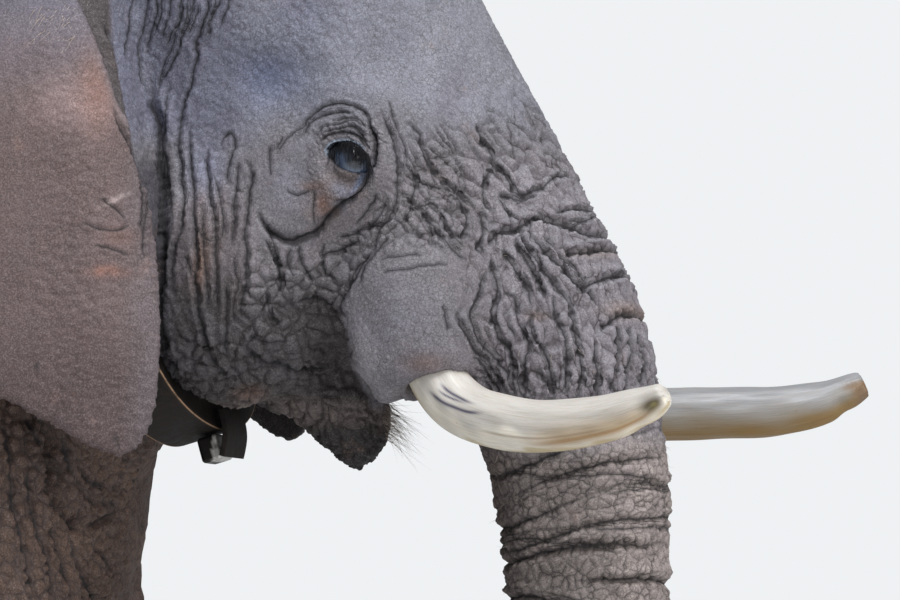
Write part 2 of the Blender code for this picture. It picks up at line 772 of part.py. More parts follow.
def split(obj, line, half_width, beyond, middle_y=0.0):
    """Parts an object along a sheet; returns it and the piece whose middle passes the test."""
    sheet = thin_sheet(line, half_width, middle_y)
    boolean(obj, sheet)
    bpy.data.objects.remove(sheet)
    sides = {False: [], True: []}
    for shell in shells(obj.data):
        centre = sum((v.co for v in shell.vertices), Vector()) / len(shell.vertices)
        sides[bool(beyond(centre))].append(shell)
    where, name = obj.users_collection[0], obj.name
    bpy.data.objects.remove(obj)
    out = []
    for passed, pieces in sides.items():
        bm = bmesh.new()
        for mesh in pieces:
            bm.from_mesh(mesh)
        mesh = bpy.data.meshes.new(name)
        bm.to_mesh(mesh)
        bm.free()
        out.append(add_object(name, mesh, where))
    return out


def level_split(obj, height, reach, middle_y, half_width):
    """Parts a limb from what is above it at a height; returns the upper piece and the lower one."""

    def is_below(centre):
        return centre.z < height and reach[0] < centre.x < reach[1] and centre.y * middle_y > 0

    return split(obj, [(reach[0], height), (reach[1], height)], half_width, is_below, middle_y)


def shells(mesh):
    """The mesh's loose pieces, without any crumbs."""
    bm = bmesh.new()
    bm.from_mesh(mesh)
    seen, out = set(), []
    for start in bm.faces:
        if start in seen:
            continue
        group, todo = [], [start]
        seen.add(start)
        while todo:
            face = todo.pop()
            group.append(face)
            for edge in face.edges:
                for other in edge.link_faces:
                    if other not in seen:
                        seen.add(other)
                        todo.append(other)
        order = {}
        for face in group:
            for vertex in face.verts:
                order.setdefault(vertex, len(order))
        piece = bpy.data.meshes.new("shell")
        piece.from_pydata([v.co[:] for v in order], [], [[order[v] for v in f.verts] for f in group])
        if size_of(piece) > SMALLEST_SHELL:
            out.append(piece)
    bm.free()
    return out


def size_of(mesh):
    points = np.array([v.co for v in mesh.vertices])
    return float(np.linalg.norm(points.max(axis=0) - points.min(axis=0)))


NAPE_TO_CHEST = [(0.170, 3.10), (0.290, 2.35), (0.368, 1.82)]
HEAD_TO_NECK = [(0.252, 3.10), (0.352, 2.60), (0.472, 1.95)]
MOUTH = [
    (0.850, 1.940),
    (0.816, 2.035),
    (0.800, 2.090),
    (0.785, 2.150),
    (0.758, 2.205),
    (0.690, 2.235),
    (0.400, 2.290),
]
ELBOW, WRIST, KNEE, ANKLE = 1.32, 0.76, 1.19, 0.20  # heights where the legs are parted
TAIL_ROOT, BEHIND_CHEST, BEHIND_BELLY = 2.14, -0.42, -1.26
TRUNK_CUTS = (("trunk_tip", 0.62), ("trunk_low", 1.08), ("trunk_mid", 1.56), ("trunk_top", 1.985))


def part_flesh(body):
    """Cuts the body into head, jaw, trunk lengths, neck, body lengths, legs and tail."""
    named = {}
    body, front = split(body, NAPE_TO_CHEST, 0.7, lambda c: c.x > 0.30 and c.z > 1.9)
    named["neck"], head = split(front, HEAD_TO_NECK, 0.7, lambda c: c.x > 0.50)
    for name, z in TRUNK_CUTS:
        head, named[name] = split(head, [(0.86, z), (1.32, z)], 0.3, lambda c: c.z < z)
    named["head"], named["jaw"] = split(head, MOUTH, 0.6, lambda c: c.z < 2.15 and c.x < 0.80)
    for side in (1, -1):
        label = side_name(side)
        x, y = FORELEG_X[side], FORELEG_Y * side
        body, leg = level_split(body, ELBOW, (x - 0.33, x + 0.33), y, 0.30)
        upper, leg = level_split(leg, WRIST, (x - 0.5, x + 0.5), y, 0.4)
        lower, foot = level_split(leg, ANKLE, (x - 0.5, x + 0.5), y, 0.4)
        named[f"foreleg_upper_{label}"] = upper
        named[f"foreleg_lower_{label}"] = lower
        named[f"forefoot_{label}"] = foot
        x, y = HINDLEG_X[side], HINDLEG_Y * side
        body, leg = level_split(body, KNEE, (x - 0.26, x + 0.42), y, 0.29)
        lower, foot = level_split(leg, ANKLE, (x - 0.5, x + 0.5), y, 0.4)
        named[f"hindleg_lower_{label}"] = lower
        named[f"hindfoot_{label}"] = foot
    body, named["tail"] = split(body, [(-2.45, TAIL_ROOT), (-2.245, TAIL_ROOT)], 0.1, lambda c: c.x < -2.25)
    chest_cut, belly_cut = ([(x, 3.2), (x, 0.9)] for x in (BEHIND_CHEST, BEHIND_BELLY))
    rear, named["chest"] = split(body, chest_cut, 1.0, lambda c: c.x > BEHIND_CHEST)
    named["hindquarters"], named["belly"] = split(rear, belly_cut, 1.0, lambda c: c.x > BEHIND_BELLY)
    for name, obj in named.items():
        obj.name = name
        obj.data.name = name
        obj.data.materials.clear()
        obj.data.materials.append(material(SKIN))
    return named


def keep_largest(obj):
    """Leaves only the largest of the object's loose pieces."""
    best = max(shells(obj.data), key=size_of)
    mesh = obj.data
    spec = list(mesh.materials)
    obj.data = best
    for m in spec:
        best.materials.append(m)
    return obj


def triangulate(obj):
    """Settles how the bent faces fold, so that a copy folds the same way."""
    bm = bmesh.new()
    bm.from_mesh(obj.data)
    bmesh.ops.triangulate(bm, faces=bm.faces)
    bm.to_mesh(obj.data)
    bm.free()


def seat(piece, flesh, scratch):
    """Cuts room for a piece in the flesh that it stands in."""
    triangulate(piece)
    cutter = grown(piece, GAP, scratch)
    boolean(flesh, cutter)
    bpy.data.objects.remove(cutter)


def centre_on_floor(objects):
    corners = np.array([v.co for o in objects for v in o.data.vertices])
    low, high = corners.min(axis=0), corners.max(axis=0)
    shift = Vector((-(low[0] + high[0]) / 2, -(low[1] + high[1]) / 2, -low[2]))
    for obj in objects:
        obj.data.transform(Matrix.Translation(shift))
    print("moved by", tuple(round(v, 4) for v in shift), "size", tuple(round(v, 4) for v in high - low))


def main():
    clear_scene()
    animal = collection("elephant")
    scratch = collection("cutters", hidden=True)
    body = fused_body(animal)
    strap, reaches = belt(body, animal)
    fittings = collar_fittings(reaches, animal)
    collar_loose_end(reaches, animal)

    ears = {side: ear(side, animal) for side in (1, -1)}
    room = grown(body, GAP, scratch)
    for side, flap in ears.items():
        boolean(flap, room)
        keep_largest(flap)
        flap.data.materials.clear()
        flap.data.materials.append(material(SKIN))
    bpy.data.objects.remove(room)

    named = part_flesh(body)
    for side in (1, -1):
        label = side_name(side)
        seat(eye(side, animal), named["head"], scratch)
        seat(tusk(side, animal), named["head"], scratch)
        for end in ("fore", "hind"):
            for nail in nails(side, end, animal):
                seat(named[f"{end}foot_{label}"], nail, scratch)
                keep_largest(nail)
    seat(named["tail"], tail_tuft(animal), scratch)

    for obj in list(animal.objects):
        if len(shells(obj.data)) > 1:
            print("more than one piece:", obj.name, [round(size_of(m), 3) for m in shells(obj.data)])
            keep_largest(obj)
    centre_on_floor(list(animal.objects))
    total = 0
    for obj in animal.objects:
        count = sum(len(p.vertices) - 2 for p in obj.data.polygons)
        total += count
        print(obj.name, count)
    print("triangles", total, "nodes", len(animal.objects))


main()
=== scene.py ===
"""A standing African bush elephant bull at life size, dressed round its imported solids.

One skin replaces the flesh solids. It is made in two lengths that meet under the collar, then given
its forms, folds and wrinkles. The working frame has +X forward, +Y to the animal's left and +Z up.
"""

import math
from contextlib import contextmanager

import bmesh
import bpy
import numpy as np
from mathutils import Matrix, Vector
from mathutils.bvhtree import BVHTree


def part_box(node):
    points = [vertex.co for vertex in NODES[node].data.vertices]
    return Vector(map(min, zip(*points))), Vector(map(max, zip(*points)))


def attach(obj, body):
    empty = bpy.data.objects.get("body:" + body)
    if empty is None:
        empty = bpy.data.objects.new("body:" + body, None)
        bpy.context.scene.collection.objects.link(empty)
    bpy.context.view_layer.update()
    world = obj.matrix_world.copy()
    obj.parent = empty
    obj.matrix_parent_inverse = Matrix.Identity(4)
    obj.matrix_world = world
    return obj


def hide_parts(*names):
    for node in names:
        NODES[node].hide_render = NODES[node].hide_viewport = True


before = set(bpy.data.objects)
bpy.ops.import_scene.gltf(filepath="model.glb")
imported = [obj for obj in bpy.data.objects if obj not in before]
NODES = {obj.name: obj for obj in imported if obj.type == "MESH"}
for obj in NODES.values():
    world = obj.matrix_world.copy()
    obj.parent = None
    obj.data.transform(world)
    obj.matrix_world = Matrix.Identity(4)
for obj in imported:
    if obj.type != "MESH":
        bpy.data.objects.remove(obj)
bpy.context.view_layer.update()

MM = 0.001
SIDES = {1: "left", -1: "right"}
EYE = Vector((0.798, 0.275, 2.42))  # centre of the left eyeball from the point between the forefeet
_low, _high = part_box("eye_right")
ORIGIN = (_low + _high) / 2 - Vector((EYE.x, -EYE.y, EYE.z))


# ---------------------------------------------------------------- camera, floor and light
SIGHT = (-0.152, 0.220, 6.293)  # the eye's place right of, above and before the middle of what is seen
STAND = (2.543, -6.226, 1.716)  # the place the head is looked at from
FOCAL_LENGTH = 162.4
AZIMUTH, ELEVATION = math.radians(15.0), math.radians(-4.5)
BACK = Vector((
    math.sin(AZIMUTH) * math.cos(ELEVATION),
    -math.cos(AZIMUTH) * math.cos(ELEVATION),
    math.sin(ELEVATION),
))


def place_camera():
    lens = bpy.data.cameras.new("camera")
    lens.sensor_width = 36.0
    lens.lens = FOCAL_LENGTH
    lens.clip_end = 500.0
    camera = bpy.data.objects.new("camera", lens)
    bpy.context.scene.collection.objects.link(camera)
    camera.location = ORIGIN + Vector(STAND)
    camera.rotation_mode = "QUATERNION"
    camera.rotation_quaternion = (-BACK).to_track_quat("-Z", "Y")
    bpy.context.scene.camera = camera


def area_light(name, place, aim, size, power, colour):
    lamp = bpy.data.lights.new(name, "AREA")
    lamp.shape = "RECTANGLE"
    lamp.size, lamp.size_y = size
    lamp.energy = power
    lamp.color = colour
    obj = bpy.data.objects.new(name, lamp)
    bpy.context.scene.collection.objects.link(obj)
    obj.location = ORIGIN + Vector(place)
    obj.rotation_mode = "QUATERNION"
    obj.rotation_quaternion = (Vector(aim) - Vector(place)).to_track_quat("-Z", "Y")


def light_studio():
    """Three soft lamps and a pale surround, which shows brighter than it lights."""
    world = bpy.data.worlds.new("studio")
    bpy.context.scene.world = world
    world.use_nodes = True
    tree = world.node_tree
    surround = tree.nodes["Background"]
    surround.inputs["Color"].default_value = (0.96, 0.98, 1.0, 1.0)
    seen = node(tree, "ShaderNodeLightPath", {}, "Is Camera Ray")
    strength = node(tree, "ShaderNodeMapRange", {0: seen, 3: 0.40, 4: 0.90})
    tree.links.new(strength, surround.inputs["Strength"])
    area_light("overhead", (1.8, -2.2, 7.0), (0.4, 0.0, 2.0), (3.2, 3.2), 290.0, (0.97, 0.98, 1.0))
    area_light("front", (6.0, -6.0, 4.6), (0.8, 0.0, 2.2), (3.0, 3.0), 205.0, (1.0, 0.98, 0.96))
    area_light("ahead", (7.3, -0.3, 1.25), (0.9, -0.1, 2.2), (1.3, 1.3), 62.0, (1.0, 0.98, 0.96))
    bpy.context.scene.view_settings.view_transform = "Standard"


# ---------------------------------------------------------------- node trees
def node(tree, kind, inputs=None, out=0, **settings):
    """Adds a node; an input that is a socket is linked and any other is set. Returns one output."""
    made = tree.nodes.new(kind)
    for key, value in settings.items():
        setattr(made, key, value)
    for key, value in (inputs or {}).items():
        if isinstance(value, bpy.types.NodeSocket):
            tree.links.new(value, made.inputs[key])
        else:
            made.inputs[key].default_value = value
    return made.outputs[out]


def maths(tree, operation, *values, clamp=False):
    return node(tree, "ShaderNodeMath", dict(enumerate(values)), operation=operation, use_clamp=clamp)


def vector_maths(tree, operation, *values, out=0):
    return node(tree, "ShaderNodeVectorMath", dict(enumerate(values)), out, operation=operation)


def ramp(tree, value, low, high, to_low=0.0, to_high=1.0):
    """Eases from one value to another as its input goes from low to high."""
    inputs = {0: value, 1: low, 2: high, 3: to_low, 4: to_high}
    return node(tree, "ShaderNodeMapRange", inputs, interpolation_type="SMOOTHSTEP")


def blend(tree, share, first, second, how="MIX"):
    """A colour between two, by a share."""
    return node(tree, "ShaderNodeMix", {0: share, 6: first, 7: second}, 2, data_type="RGBA", blend_type=how)


def attribute(tree, name, out="Color"):
    return node(tree, "ShaderNodeAttribute", {}, out, attribute_name=name)


def new_material(name, **constants):
    """A material, its tree and its shader, with constants set on the shader's own sockets."""
    made = bpy.data.materials.new(name)
    made.use_nodes = True
    shader = made.node_tree.nodes["Principled BSDF"]
    for key, value in constants.items():
        shader.inputs[key.replace("_", " ")].default_value = value
    return made, made.node_tree, shader


def wire(tree, shader, **outputs):
    """Links outputs to the shader's sockets of those names."""
    for key, output in outputs.items():
        tree.links.new(output, shader.inputs[key.replace("_", " ")])


def new_group(name, inputs):
    """A Geometry Nodes tree that takes and returns a geometry, and what it is given."""
    tree = bpy.data.node_groups.new(name, "GeometryNodeTree")
    for title, kind in (("Geometry", "Geometry"), *inputs):
        tree.interface.new_socket(title, in_out="INPUT", socket_type=f"NodeSocket{kind}")
    tree.interface.new_socket("Geometry", in_out="OUTPUT", socket_type="NodeSocketGeometry")
    return tree, tree.nodes.new("NodeGroupInput").outputs


def give_back(tree, geometry):
    out = tree.nodes.new("NodeGroupOutput")
    tree.links.new(geometry, out.inputs["Geometry"])
    return tree


def add_nodes(obj, tree, values):
    """A Geometry Nodes modifier, with its inputs set by the sockets' identifiers."""
    sockets = {s.name: s.identifier for s in tree.interface.items_tree if s.in_out == "INPUT"}
    made = obj.modifiers.new(tree.name, "NODES")
    made.node_group = tree
    for title, value in values.items():
        made[sockets[title]] = value


def object_place(tree):
    return node(tree, "ShaderNodeTexCoord", {}, "Object")


def noise(tree, where, scale, detail=2.0, roughness=0.5, out=0):
    inputs = {"Vector": where, "Scale": scale, "Detail": detail, "Roughness": roughness}
    return node(tree, "ShaderNodeTexNoise", inputs, out)


def cell_edges(tree, where, scale):
    """Distance to the nearest border between cells."""
    inputs = {"Vector": where, "Scale": scale, "Randomness": 1.0}
    return node(tree, "ShaderNodeTexVoronoi", inputs, "Distance", feature="DISTANCE_TO_EDGE")


def bump(tree, height, distance, strength):
    return node(tree, "ShaderNodeBump", {"Height": height, "Distance": distance, "Strength": strength})


# ---------------------------------------------------------------- arrays
def points_of(mesh):
    co = np.empty(len(mesh.vertices) * 3, np.float32)
    mesh.vertices.foreach_get("co", co)
    return co.reshape(-1, 3).astype(float) - np.array(ORIGIN)


def set_points(mesh, points):
    mesh.vertices.foreach_set("co", (points + np.array(ORIGIN)).astype(np.float32).ravel())
    mesh.update()


def normals_of(mesh):
    out = np.empty(len(mesh.vertices) * 3, np.float32)
    mesh.vertex_normals.foreach_get("vector", out)
    return out.reshape(-1, 3).astype(float)


def step(low, high, value):
    """Eases from 0 to 1 as the value goes from low to high, or from 1 to 0 where low is the larger."""
    t = np.clip((value - low) / (high - low), 0.0, 1.0)
    return t * t * (3 - 2 * t)


def bell(off, width):
    """1 where off is 0, fading to 0 beyond the width."""
    return np.exp(-((off / width) ** 2))


class Web:
    """The links between a mesh's vertices."""

    def __init__(self, mesh):
        ends = np.empty(len(mesh.edges) * 2, np.int32)
        mesh.edges.foreach_get("vertices", ends)
        self.first, self.second = ends.reshape(-1, 2).T
        self.count = len(mesh.vertices)
        self.links = np.maximum(np.bincount(ends, minlength=self.count), 1)

    def mean(self, field):
        """Mean of each vertex's neighbours."""
        total = np.empty_like(field)
        for k in range(field.shape[1]):
            total[:, k] = np.bincount(self.first, field[self.second, k], self.count)
            total[:, k] += np.bincount(self.second, field[self.first, k], self.count)
        return total / self.links[:, None]

    def relaxed(self, field, passes, share):
        for _ in range(passes):
            field = field + share * (self.mean(field) - field)
        return field


def add_object(name, mesh, material=None):
    obj = bpy.data.objects.new(name, mesh)
    bpy.context.scene.collection.objects.link(obj)
    if material is not None:
        mesh.materials.clear()
        mesh.materials.append(material)
    return obj


def applied(obj):
    """Turns an object with modifiers into a plain mesh."""
    graph = bpy.context.evaluated_depsgraph_get()
    mesh = bpy.data.meshes.new_from_object(obj.evaluated_get(graph))
    old = obj.data
    obj.modifiers.clear()
    obj.data = mesh
    bpy.data.meshes.remove(old)
    return obj


@contextmanager
def edited(mesh):
    """The mesh as a bmesh, written back at the end."""
    bm = bmesh.new()
    bm.from_mesh(mesh)
    yield bm
    bm.to_mesh(mesh)
    bm.free()


def shade_smooth(mesh):
    mesh.polygons.foreach_set("use_smooth", np.ones(len(mesh.polygons), bool))


def along(stations, count):
    """Rows between the stations on a Catmull-Rom curve, count for each span."""
    rows = np.array(stations, float)
    padded = np.vstack([2 * rows[0] - rows[1], rows, 2 * rows[-1] - rows[-2]])
    out = []
    for i in range(1, len(padded) - 2):
        p0, p1, p2, p3 = padded[i - 1 : i + 3]
        for t in np.arange(count) / count:
            square, cube = 2 * p0 - 5 * p1 + 4 * p2 - p3, 3 * p1 - p0 - 3 * p2 + p3
            out.append(p1 + 0.5 * ((p2 - p0) * t + square * t * t + cube * t**3))
    out.append(padded[-2])
    return np.array(out)


# ---------------------------------------------------------------- ears
# outline of the ear seen from its side, as (x, z), from the front rim up, back and round
EAR_OUTLINE = [
    (0.488, 2.440), (0.444, 2.580), (0.372, 2.720), (0.290, 2.860), (0.140, 2.980),
    (-0.040, 3.030), (-0.220, 2.990), (-0.360, 2.880), (-0.440, 2.720), (-0.455, 2.540),
    (-0.400, 2.380), (-0.280, 2.260), (-0.120, 2.180), (0.060, 2.125), (0.220, 2.082),
    (0.350, 2.020), (0.435, 1.972), (0.487, 1.957), (0.522, 1.995), (0.536, 2.080),
    (0.530, 2.200), (0.512, 2.330),
]
EAR_ROOT = (0.40, 2.52)
LEFT_LOBE_RISE = 0.062
EAR_SPREAD = {1: 0.44, -1: 0.36}  # how far the back edge stands out, over its length


def ear_side(side, x, z):
    """Distance of the ear's middle surface from the body's middle plane."""
    back = 0.545 - x
    spread = np.where(np.asarray(side) > 0, EAR_SPREAD[1], EAR_SPREAD[-1])
    out = 0.425 + spread * back * (1.15 - 0.35 * back)
    out -= 0.16 * step(2.45, 3.05, z) * (1 - 0.35 * back)
    out -= 0.050 * step(0.44, 0.545, x) * step(2.05, 2.35, z)
    out += 0.018 * np.sin(7.5 * z + 1.5 * x) * step(0.1, 0.8, back)
    return out


def ear_flap(side):
    """The ear's closed flap, finely divided, as points and faces."""
    outline = along([*EAR_OUTLINE, EAR_OUTLINE[0]], 8)[:-1]
    px, pz = outline.T
    if side > 0:  # the left lobe is the shorter
        raised = 1 - step(1.98, 2.45, pz)
        px, pz = px - 0.012 * raised, pz + LEFT_LOBE_RISE * raised
    shares = np.array([1.0, 0.992, 0.975, 0.945, 0.89, 0.80, 0.68, 0.54, 0.40, 0.26, 0.13, 0.03])
    points, faces = [], []
    count = len(outline)
    for sheet in (1, -1):
        for share in shares:
            x = EAR_ROOT[0] + (px - EAR_ROOT[0]) * share
            z = EAR_ROOT[1] + (pz - EAR_ROOT[1]) * share
            rim = math.sqrt(max(1 - share**16, 0.0))
            thick = (0.007 + 0.016 * (1 - share) + 0.006 * step(0.30, 0.50, x)) * rim
            y = side * (ear_side(side, x, z) + sheet * thick)
            points += list(zip(x, y, z))
        middle = float(ear_side(side, *EAR_ROOT))
        points.append((EAR_ROOT[0], side * (middle + sheet * 0.023), EAR_ROOT[1]))
    sheet_size = len(shares) * count + 1
    for sheet in (0, 1):
        start = sheet * sheet_size
        for r in range(len(shares) - 1):
            a = start + r * count
            b = a + count
            faces += [(a + s, a + (s + 1) % count, b + (s + 1) % count, b + s) for s in range(count)]
        last = start + (len(shares) - 1) * count
        faces += [(last + s, last + (s + 1) % count, start + sheet_size - 1) for s in range(count)]
    return points, faces


EAR_STALK = [  # x, y outward, z, half size fore and aft, half size across
    (0.355, 0.245, 2.830, 0.030, 0.060),
    (0.385, 0.300, 2.740, 0.042, 0.085),
    (0.407, 0.345, 2.600, 0.045, 0.095),
    (0.436, 0.360, 2.450, 0.042, 0.100),
    (0.456, 0.345, 2.350, 0.034, 0.095),
    (0.464, 0.320, 2.285, 0.022, 0.070),
]


def tube(stations, sides=24, spans=5):
    """Closed tube round a bent line, as points and faces. A station ends with its two half sizes."""
    rows = along(stations, spans)
    points = []
    for i, row in enumerate(rows):
        before, after = rows[max(i - 1, 0)][:3], rows[min(i + 1, len(rows) - 1)][:3]
        run = Vector(after - before).normalized()
        side = (Vector((0, 1, 0)) - run * run.y).normalized()
        fore = side.cross(run)
        for s in range(sides):
            angle = 2 * math.pi * s / sides
            c, d = math.cos(angle), math.sin(angle)
            points.append(Vector(row[:3]) + fore * row[3] * c + side * row[4] * d)
    faces = []
    for r in range(len(rows) - 1):
        a, b = r * sides, (r + 1) * sides
        faces += [(a + s, a + (s + 1) % sides, b + (s + 1) % sides, b + s) for s in range(sides)]
    faces.append(tuple(range(sides))[::-1])
    faces.append(tuple((len(rows) - 1) * sides + s for s in range(sides)))
    return points, faces


def mesh_from(name, points, faces, weld=0.0):
    """A closed mesh in the model's frame from points in the working frame."""
    mesh = bpy.data.meshes.new(name)
    mesh.from_pydata([tuple(Vector(p) + ORIGIN) for p in points], [], faces)
    with edited(mesh) as bm:
        if weld:
            bmesh.ops.remove_doubles(bm, verts=bm.verts, dist=weld)
        bmesh.ops.recalc_face_normals(bm, faces=bm.faces)
    return mesh


# ---------------------------------------------------------------- the skin's ground
HEAD_NODES = ["head", "jaw", "neck", "chest", "trunk_top", "trunk_mid", "trunk_low", "trunk_tip"]
BODY_STARTS = ("belly", "chest", "hindquarters", "neck", "head", "foreleg", "hindleg", "forefoot", "hindfoot")
BODY_NODES = [name for name in NODES if name.startswith(BODY_STARTS) or name == "tail"]
BELT_TOP = Vector((0.200, 0.0, 2.90))
BELT_BOTTOM = Vector((0.452, 0.0, 2.010))
BELT_HALF = 0.0475
HEAD_VOXEL = 0.0070
BODY_VOXEL = 0.0180
WELD = 1e-5  # points nearer than this are one
OVERLAP = 0.001  # solids that only touch are grown by this before they are fused
HEAD_SOFTEN, HEAD_FINISH, BODY_SOFTEN = 70, 9, 14  # smoothing passes
JOIN_REACH = 0.03  # how far behind the belt's middle the body's skin is drawn onto the head's
SEAM = 0.02  # the two lengths of skin overlap by this each side of the belt's middle


def belt_plane(points):
    """Distance in front of the collar belt's middle."""
    up = (BELT_TOP - BELT_BOTTOM).normalized()
    run = Vector((0, 1, 0)).cross(up).normalized()
    return (points - np.array((BELT_TOP + BELT_BOTTOM) / 2)) @ np.array(run)


def ground(name, nodes, extra, voxel):
    """One closed surface round copies of the solids and some extra meshes."""
    bm = bmesh.new()
    for node_name in nodes:
        part = bmesh.new()
        part.from_mesh(NODES[node_name].data)
        bmesh.ops.remove_doubles(part, verts=part.verts, dist=WELD)
        part.normal_update()
        for vertex in part.verts:
            vertex.co += vertex.normal * OVERLAP
        scratch = bpy.data.meshes.new("scratch")
        part.to_mesh(scratch)
        part.free()
        bm.from_mesh(scratch)
        bpy.data.meshes.remove(scratch)
    for mesh in extra:
        bm.from_mesh(mesh)
        bpy.data.meshes.remove(mesh)
    mesh = bpy.data.meshes.new(name)
    bm.to_mesh(mesh)
    bm.free()
    obj = add_object(name, mesh)
    fuse = obj.modifiers.new("fuse", "REMESH")
    fuse.mode = "VOXEL"
    fuse.voxel_size = voxel
    return applied(obj)


def keep_faces(mesh, keep):
    """Deletes the faces that aren't kept, then every loose piece but the largest."""
    with edited(mesh) as bm:
        bm.faces.ensure_lookup_table()
        bmesh.ops.delete(bm, geom=[f for f, k in zip(bm.faces, keep) if not k], context="FACES")
        seen, groups = set(), []
        for start in bm.faces:
            if start.index in seen:
                continue
            seen.add(start.index)
            group, todo = [], [start]
            while todo:
                face = todo.pop()
                group.append(face)
                for edge in face.edges:
                    for other in edge.link_faces:
                        if other.index not in seen:
                            seen.add(other.index)
                            todo.append(other)
            groups.append(group)
        groups.sort(key=len)
        for group in groups[:-1]:
            bmesh.ops.delete(bm, geom=group, context="FACES")


def face_means(mesh, values):
    """Mean over each face's corners of a value held at the vertices."""
    corners = np.empty(len(mesh.loops), np.int32)
    mesh.loops.foreach_get("vertex_index", corners)
    starts = np.empty(len(mesh.polygons), np.int32)
    mesh.polygons.foreach_get("loop_start", starts)
    totals = np.diff(np.append(starts, len(corners)))
    return np.add.reduceat(values[corners].astype(float), starts) / totals


def refine(mesh, inside):
    """Halves the edges whose two ends are both inside."""
    with edited(mesh) as bm:
        chosen = [e for e in bm.edges if inside[e.verts[0].index] and inside[e.verts[1].index]]
        bmesh.ops.subdivide_edges(bm, edges=chosen, cuts=1, use_grid_fill=True)


def smoothed(obj, share, passes):
    """Smooths facets away where share is near 1, without shrinking the larger forms."""
    group = obj.vertex_groups.new(name="soft")
    for level in (0.25, 0.5, 0.75, 1.0):
        group.add(np.flatnonzero(np.abs(share - level) < 0.125).tolist(), level, "REPLACE")
    soften = obj.modifiers.new("soften", "SMOOTH")
    soften.factor, soften.iterations, soften.vertex_group = 0.6, passes, "soft"

    def result():
        graph = bpy.context.evaluated_depsgraph_get()
        mesh = obj.evaluated_get(graph).to_mesh()
        out = points_of(mesh)
        obj.evaluated_get(graph).to_mesh_clear()
        return out

    once = result()
    set_points(obj.data, once)
    bpy.context.view_layer.update()
    twice = result()
    obj.modifiers.clear()
    obj.vertex_groups.clear()
    set_points(obj.data, 2 * once - twice)


def ear_share(points):
    """1 on an ear's flap and 0 on the head."""
    x, y, z = points.T
    off = np.abs(np.abs(y) - ear_side(np.sign(y), x, z))
    high = 0.6 * np.maximum(z - 2.45, 0.0)
    flap = step(0.050, 0.036, off) * step(0.60, 0.56, x + high)
    return flap * step(1.90, 1.95, z) * step(0.24, 0.30, np.abs(y))


def eye_view(points):
    """Distances forward and up from the eye as the head is seen from STAND; the left side is mirrored."""
    rel = points * (1, 0, 1) - np.abs(points) * (0, 1, 0) - STAND
    ahead = -np.array(BACK)
    right = np.array((math.cos(AZIMUTH), math.sin(AZIMUTH), 0.0))
    up = np.cross(right, ahead)
    scale = SIGHT[2] / (rel @ ahead)
    return (rel @ right) * scale - SIGHT[0], (rel @ up) * scale - SIGHT[1]


def make_head_ground():
    extra = []
    for side in (1, -1):
        stalk = [(x, y * side, z, fore, across) for x, y, z, fore, across in EAR_STALK]
        extra += [mesh_from("flap", *ear_flap(side), weld=WELD), mesh_from("stalk", *tube(stalk))]
    obj = ground("head_skin", HEAD_NODES, extra, HEAD_VOXEL)
    points = points_of(obj.data)
    ear = ear_share(points)
    thin = step(1.0, 0.72, points[:, 2])
    smoothed(obj, np.round((1 - ear) * (1 - 0.5 * thin) * 4) / 4, HEAD_SOFTEN)
    smoothed(obj, np.ones(len(points)), HEAD_FINISH)
    points = points_of(obj.data)
    keep = (belt_plane(points) > -SEAM) | (ear_share(points) > 0.5)
    keep_faces(obj.data, face_means(obj.data, keep) > 0.99)
    return obj


def make_body_ground(head):
    obj = ground("body_skin", BODY_NODES, [], BODY_VOXEL)
    smoothed(obj, np.ones(len(obj.data.vertices)), BODY_SOFTEN)
    keep_faces(obj.data, face_means(obj.data, belt_plane(points_of(obj.data)) < SEAM) > 0.99)
    mesh = obj.data
    points = points_of(mesh)
    tree = BVHTree.FromObject(head, bpy.context.evaluated_depsgraph_get())
    ahead = belt_plane(points)
    for i in np.flatnonzero(ahead > -JOIN_REACH):
        near, _, _, _ = tree.find_nearest(Vector(points[i]) + ORIGIN)
        share = float(step(-JOIN_REACH, 0.0, ahead[i]))
        points[i] += share * (np.array(near - ORIGIN) - points[i])
    set_points(mesh, points)
    return obj


# ---------------------------------------------------------------- named folds

def ripple(points, size, seed):
    """Soft irregular swell between about -1 and 1, with a typical size."""
    draw = np.random.default_rng(seed)
    total = np.zeros(len(points))
    for _ in range(5):
        way = draw.normal(size=points.shape[1])
        way *= draw.uniform(0.7, 1.5) / np.linalg.norm(way)
        total += np.sin(points @ way * (2 * math.pi / size) + draw.uniform(0, 6.3))
    return total / 2.6


def along_line(a, b, line, reach):
    """Which points lie within reach of a smooth line, how far off, on which side, and how far along."""
    rows = along(line, 5)
    low, high = rows.min(axis=0) - reach, rows.max(axis=0) + reach
    near = np.flatnonzero((a > low[0]) & (a < high[0]) & (b > low[1]) & (b < high[1]))
    p = np.stack([a[near], b[near]], axis=1)
    off = np.full(len(near), 1e9)
    place, side = np.zeros(len(near)), np.zeros(len(near))
    steps = np.diff(rows, axis=0)
    lengths = np.linalg.norm(steps, axis=1)
    run = np.concatenate([[0.0], np.cumsum(lengths)])
    for start, way, length, done in zip(rows, steps, lengths, run):
        rel = p - start
        t = np.clip(rel @ way / length**2, 0.0, 1.0)
        gap = rel - t[:, None] * way
        d = np.hypot(gap[:, 0], gap[:, 1])
        closer = d < off
        off = np.where(closer, d, off)
        place = np.where(closer, (done + t * length) / run[-1], place)
        side = np.where(closer, np.sign(way[0] * rel[:, 1] - way[1] * rel[:, 0]), side)
    return near, off, side, place


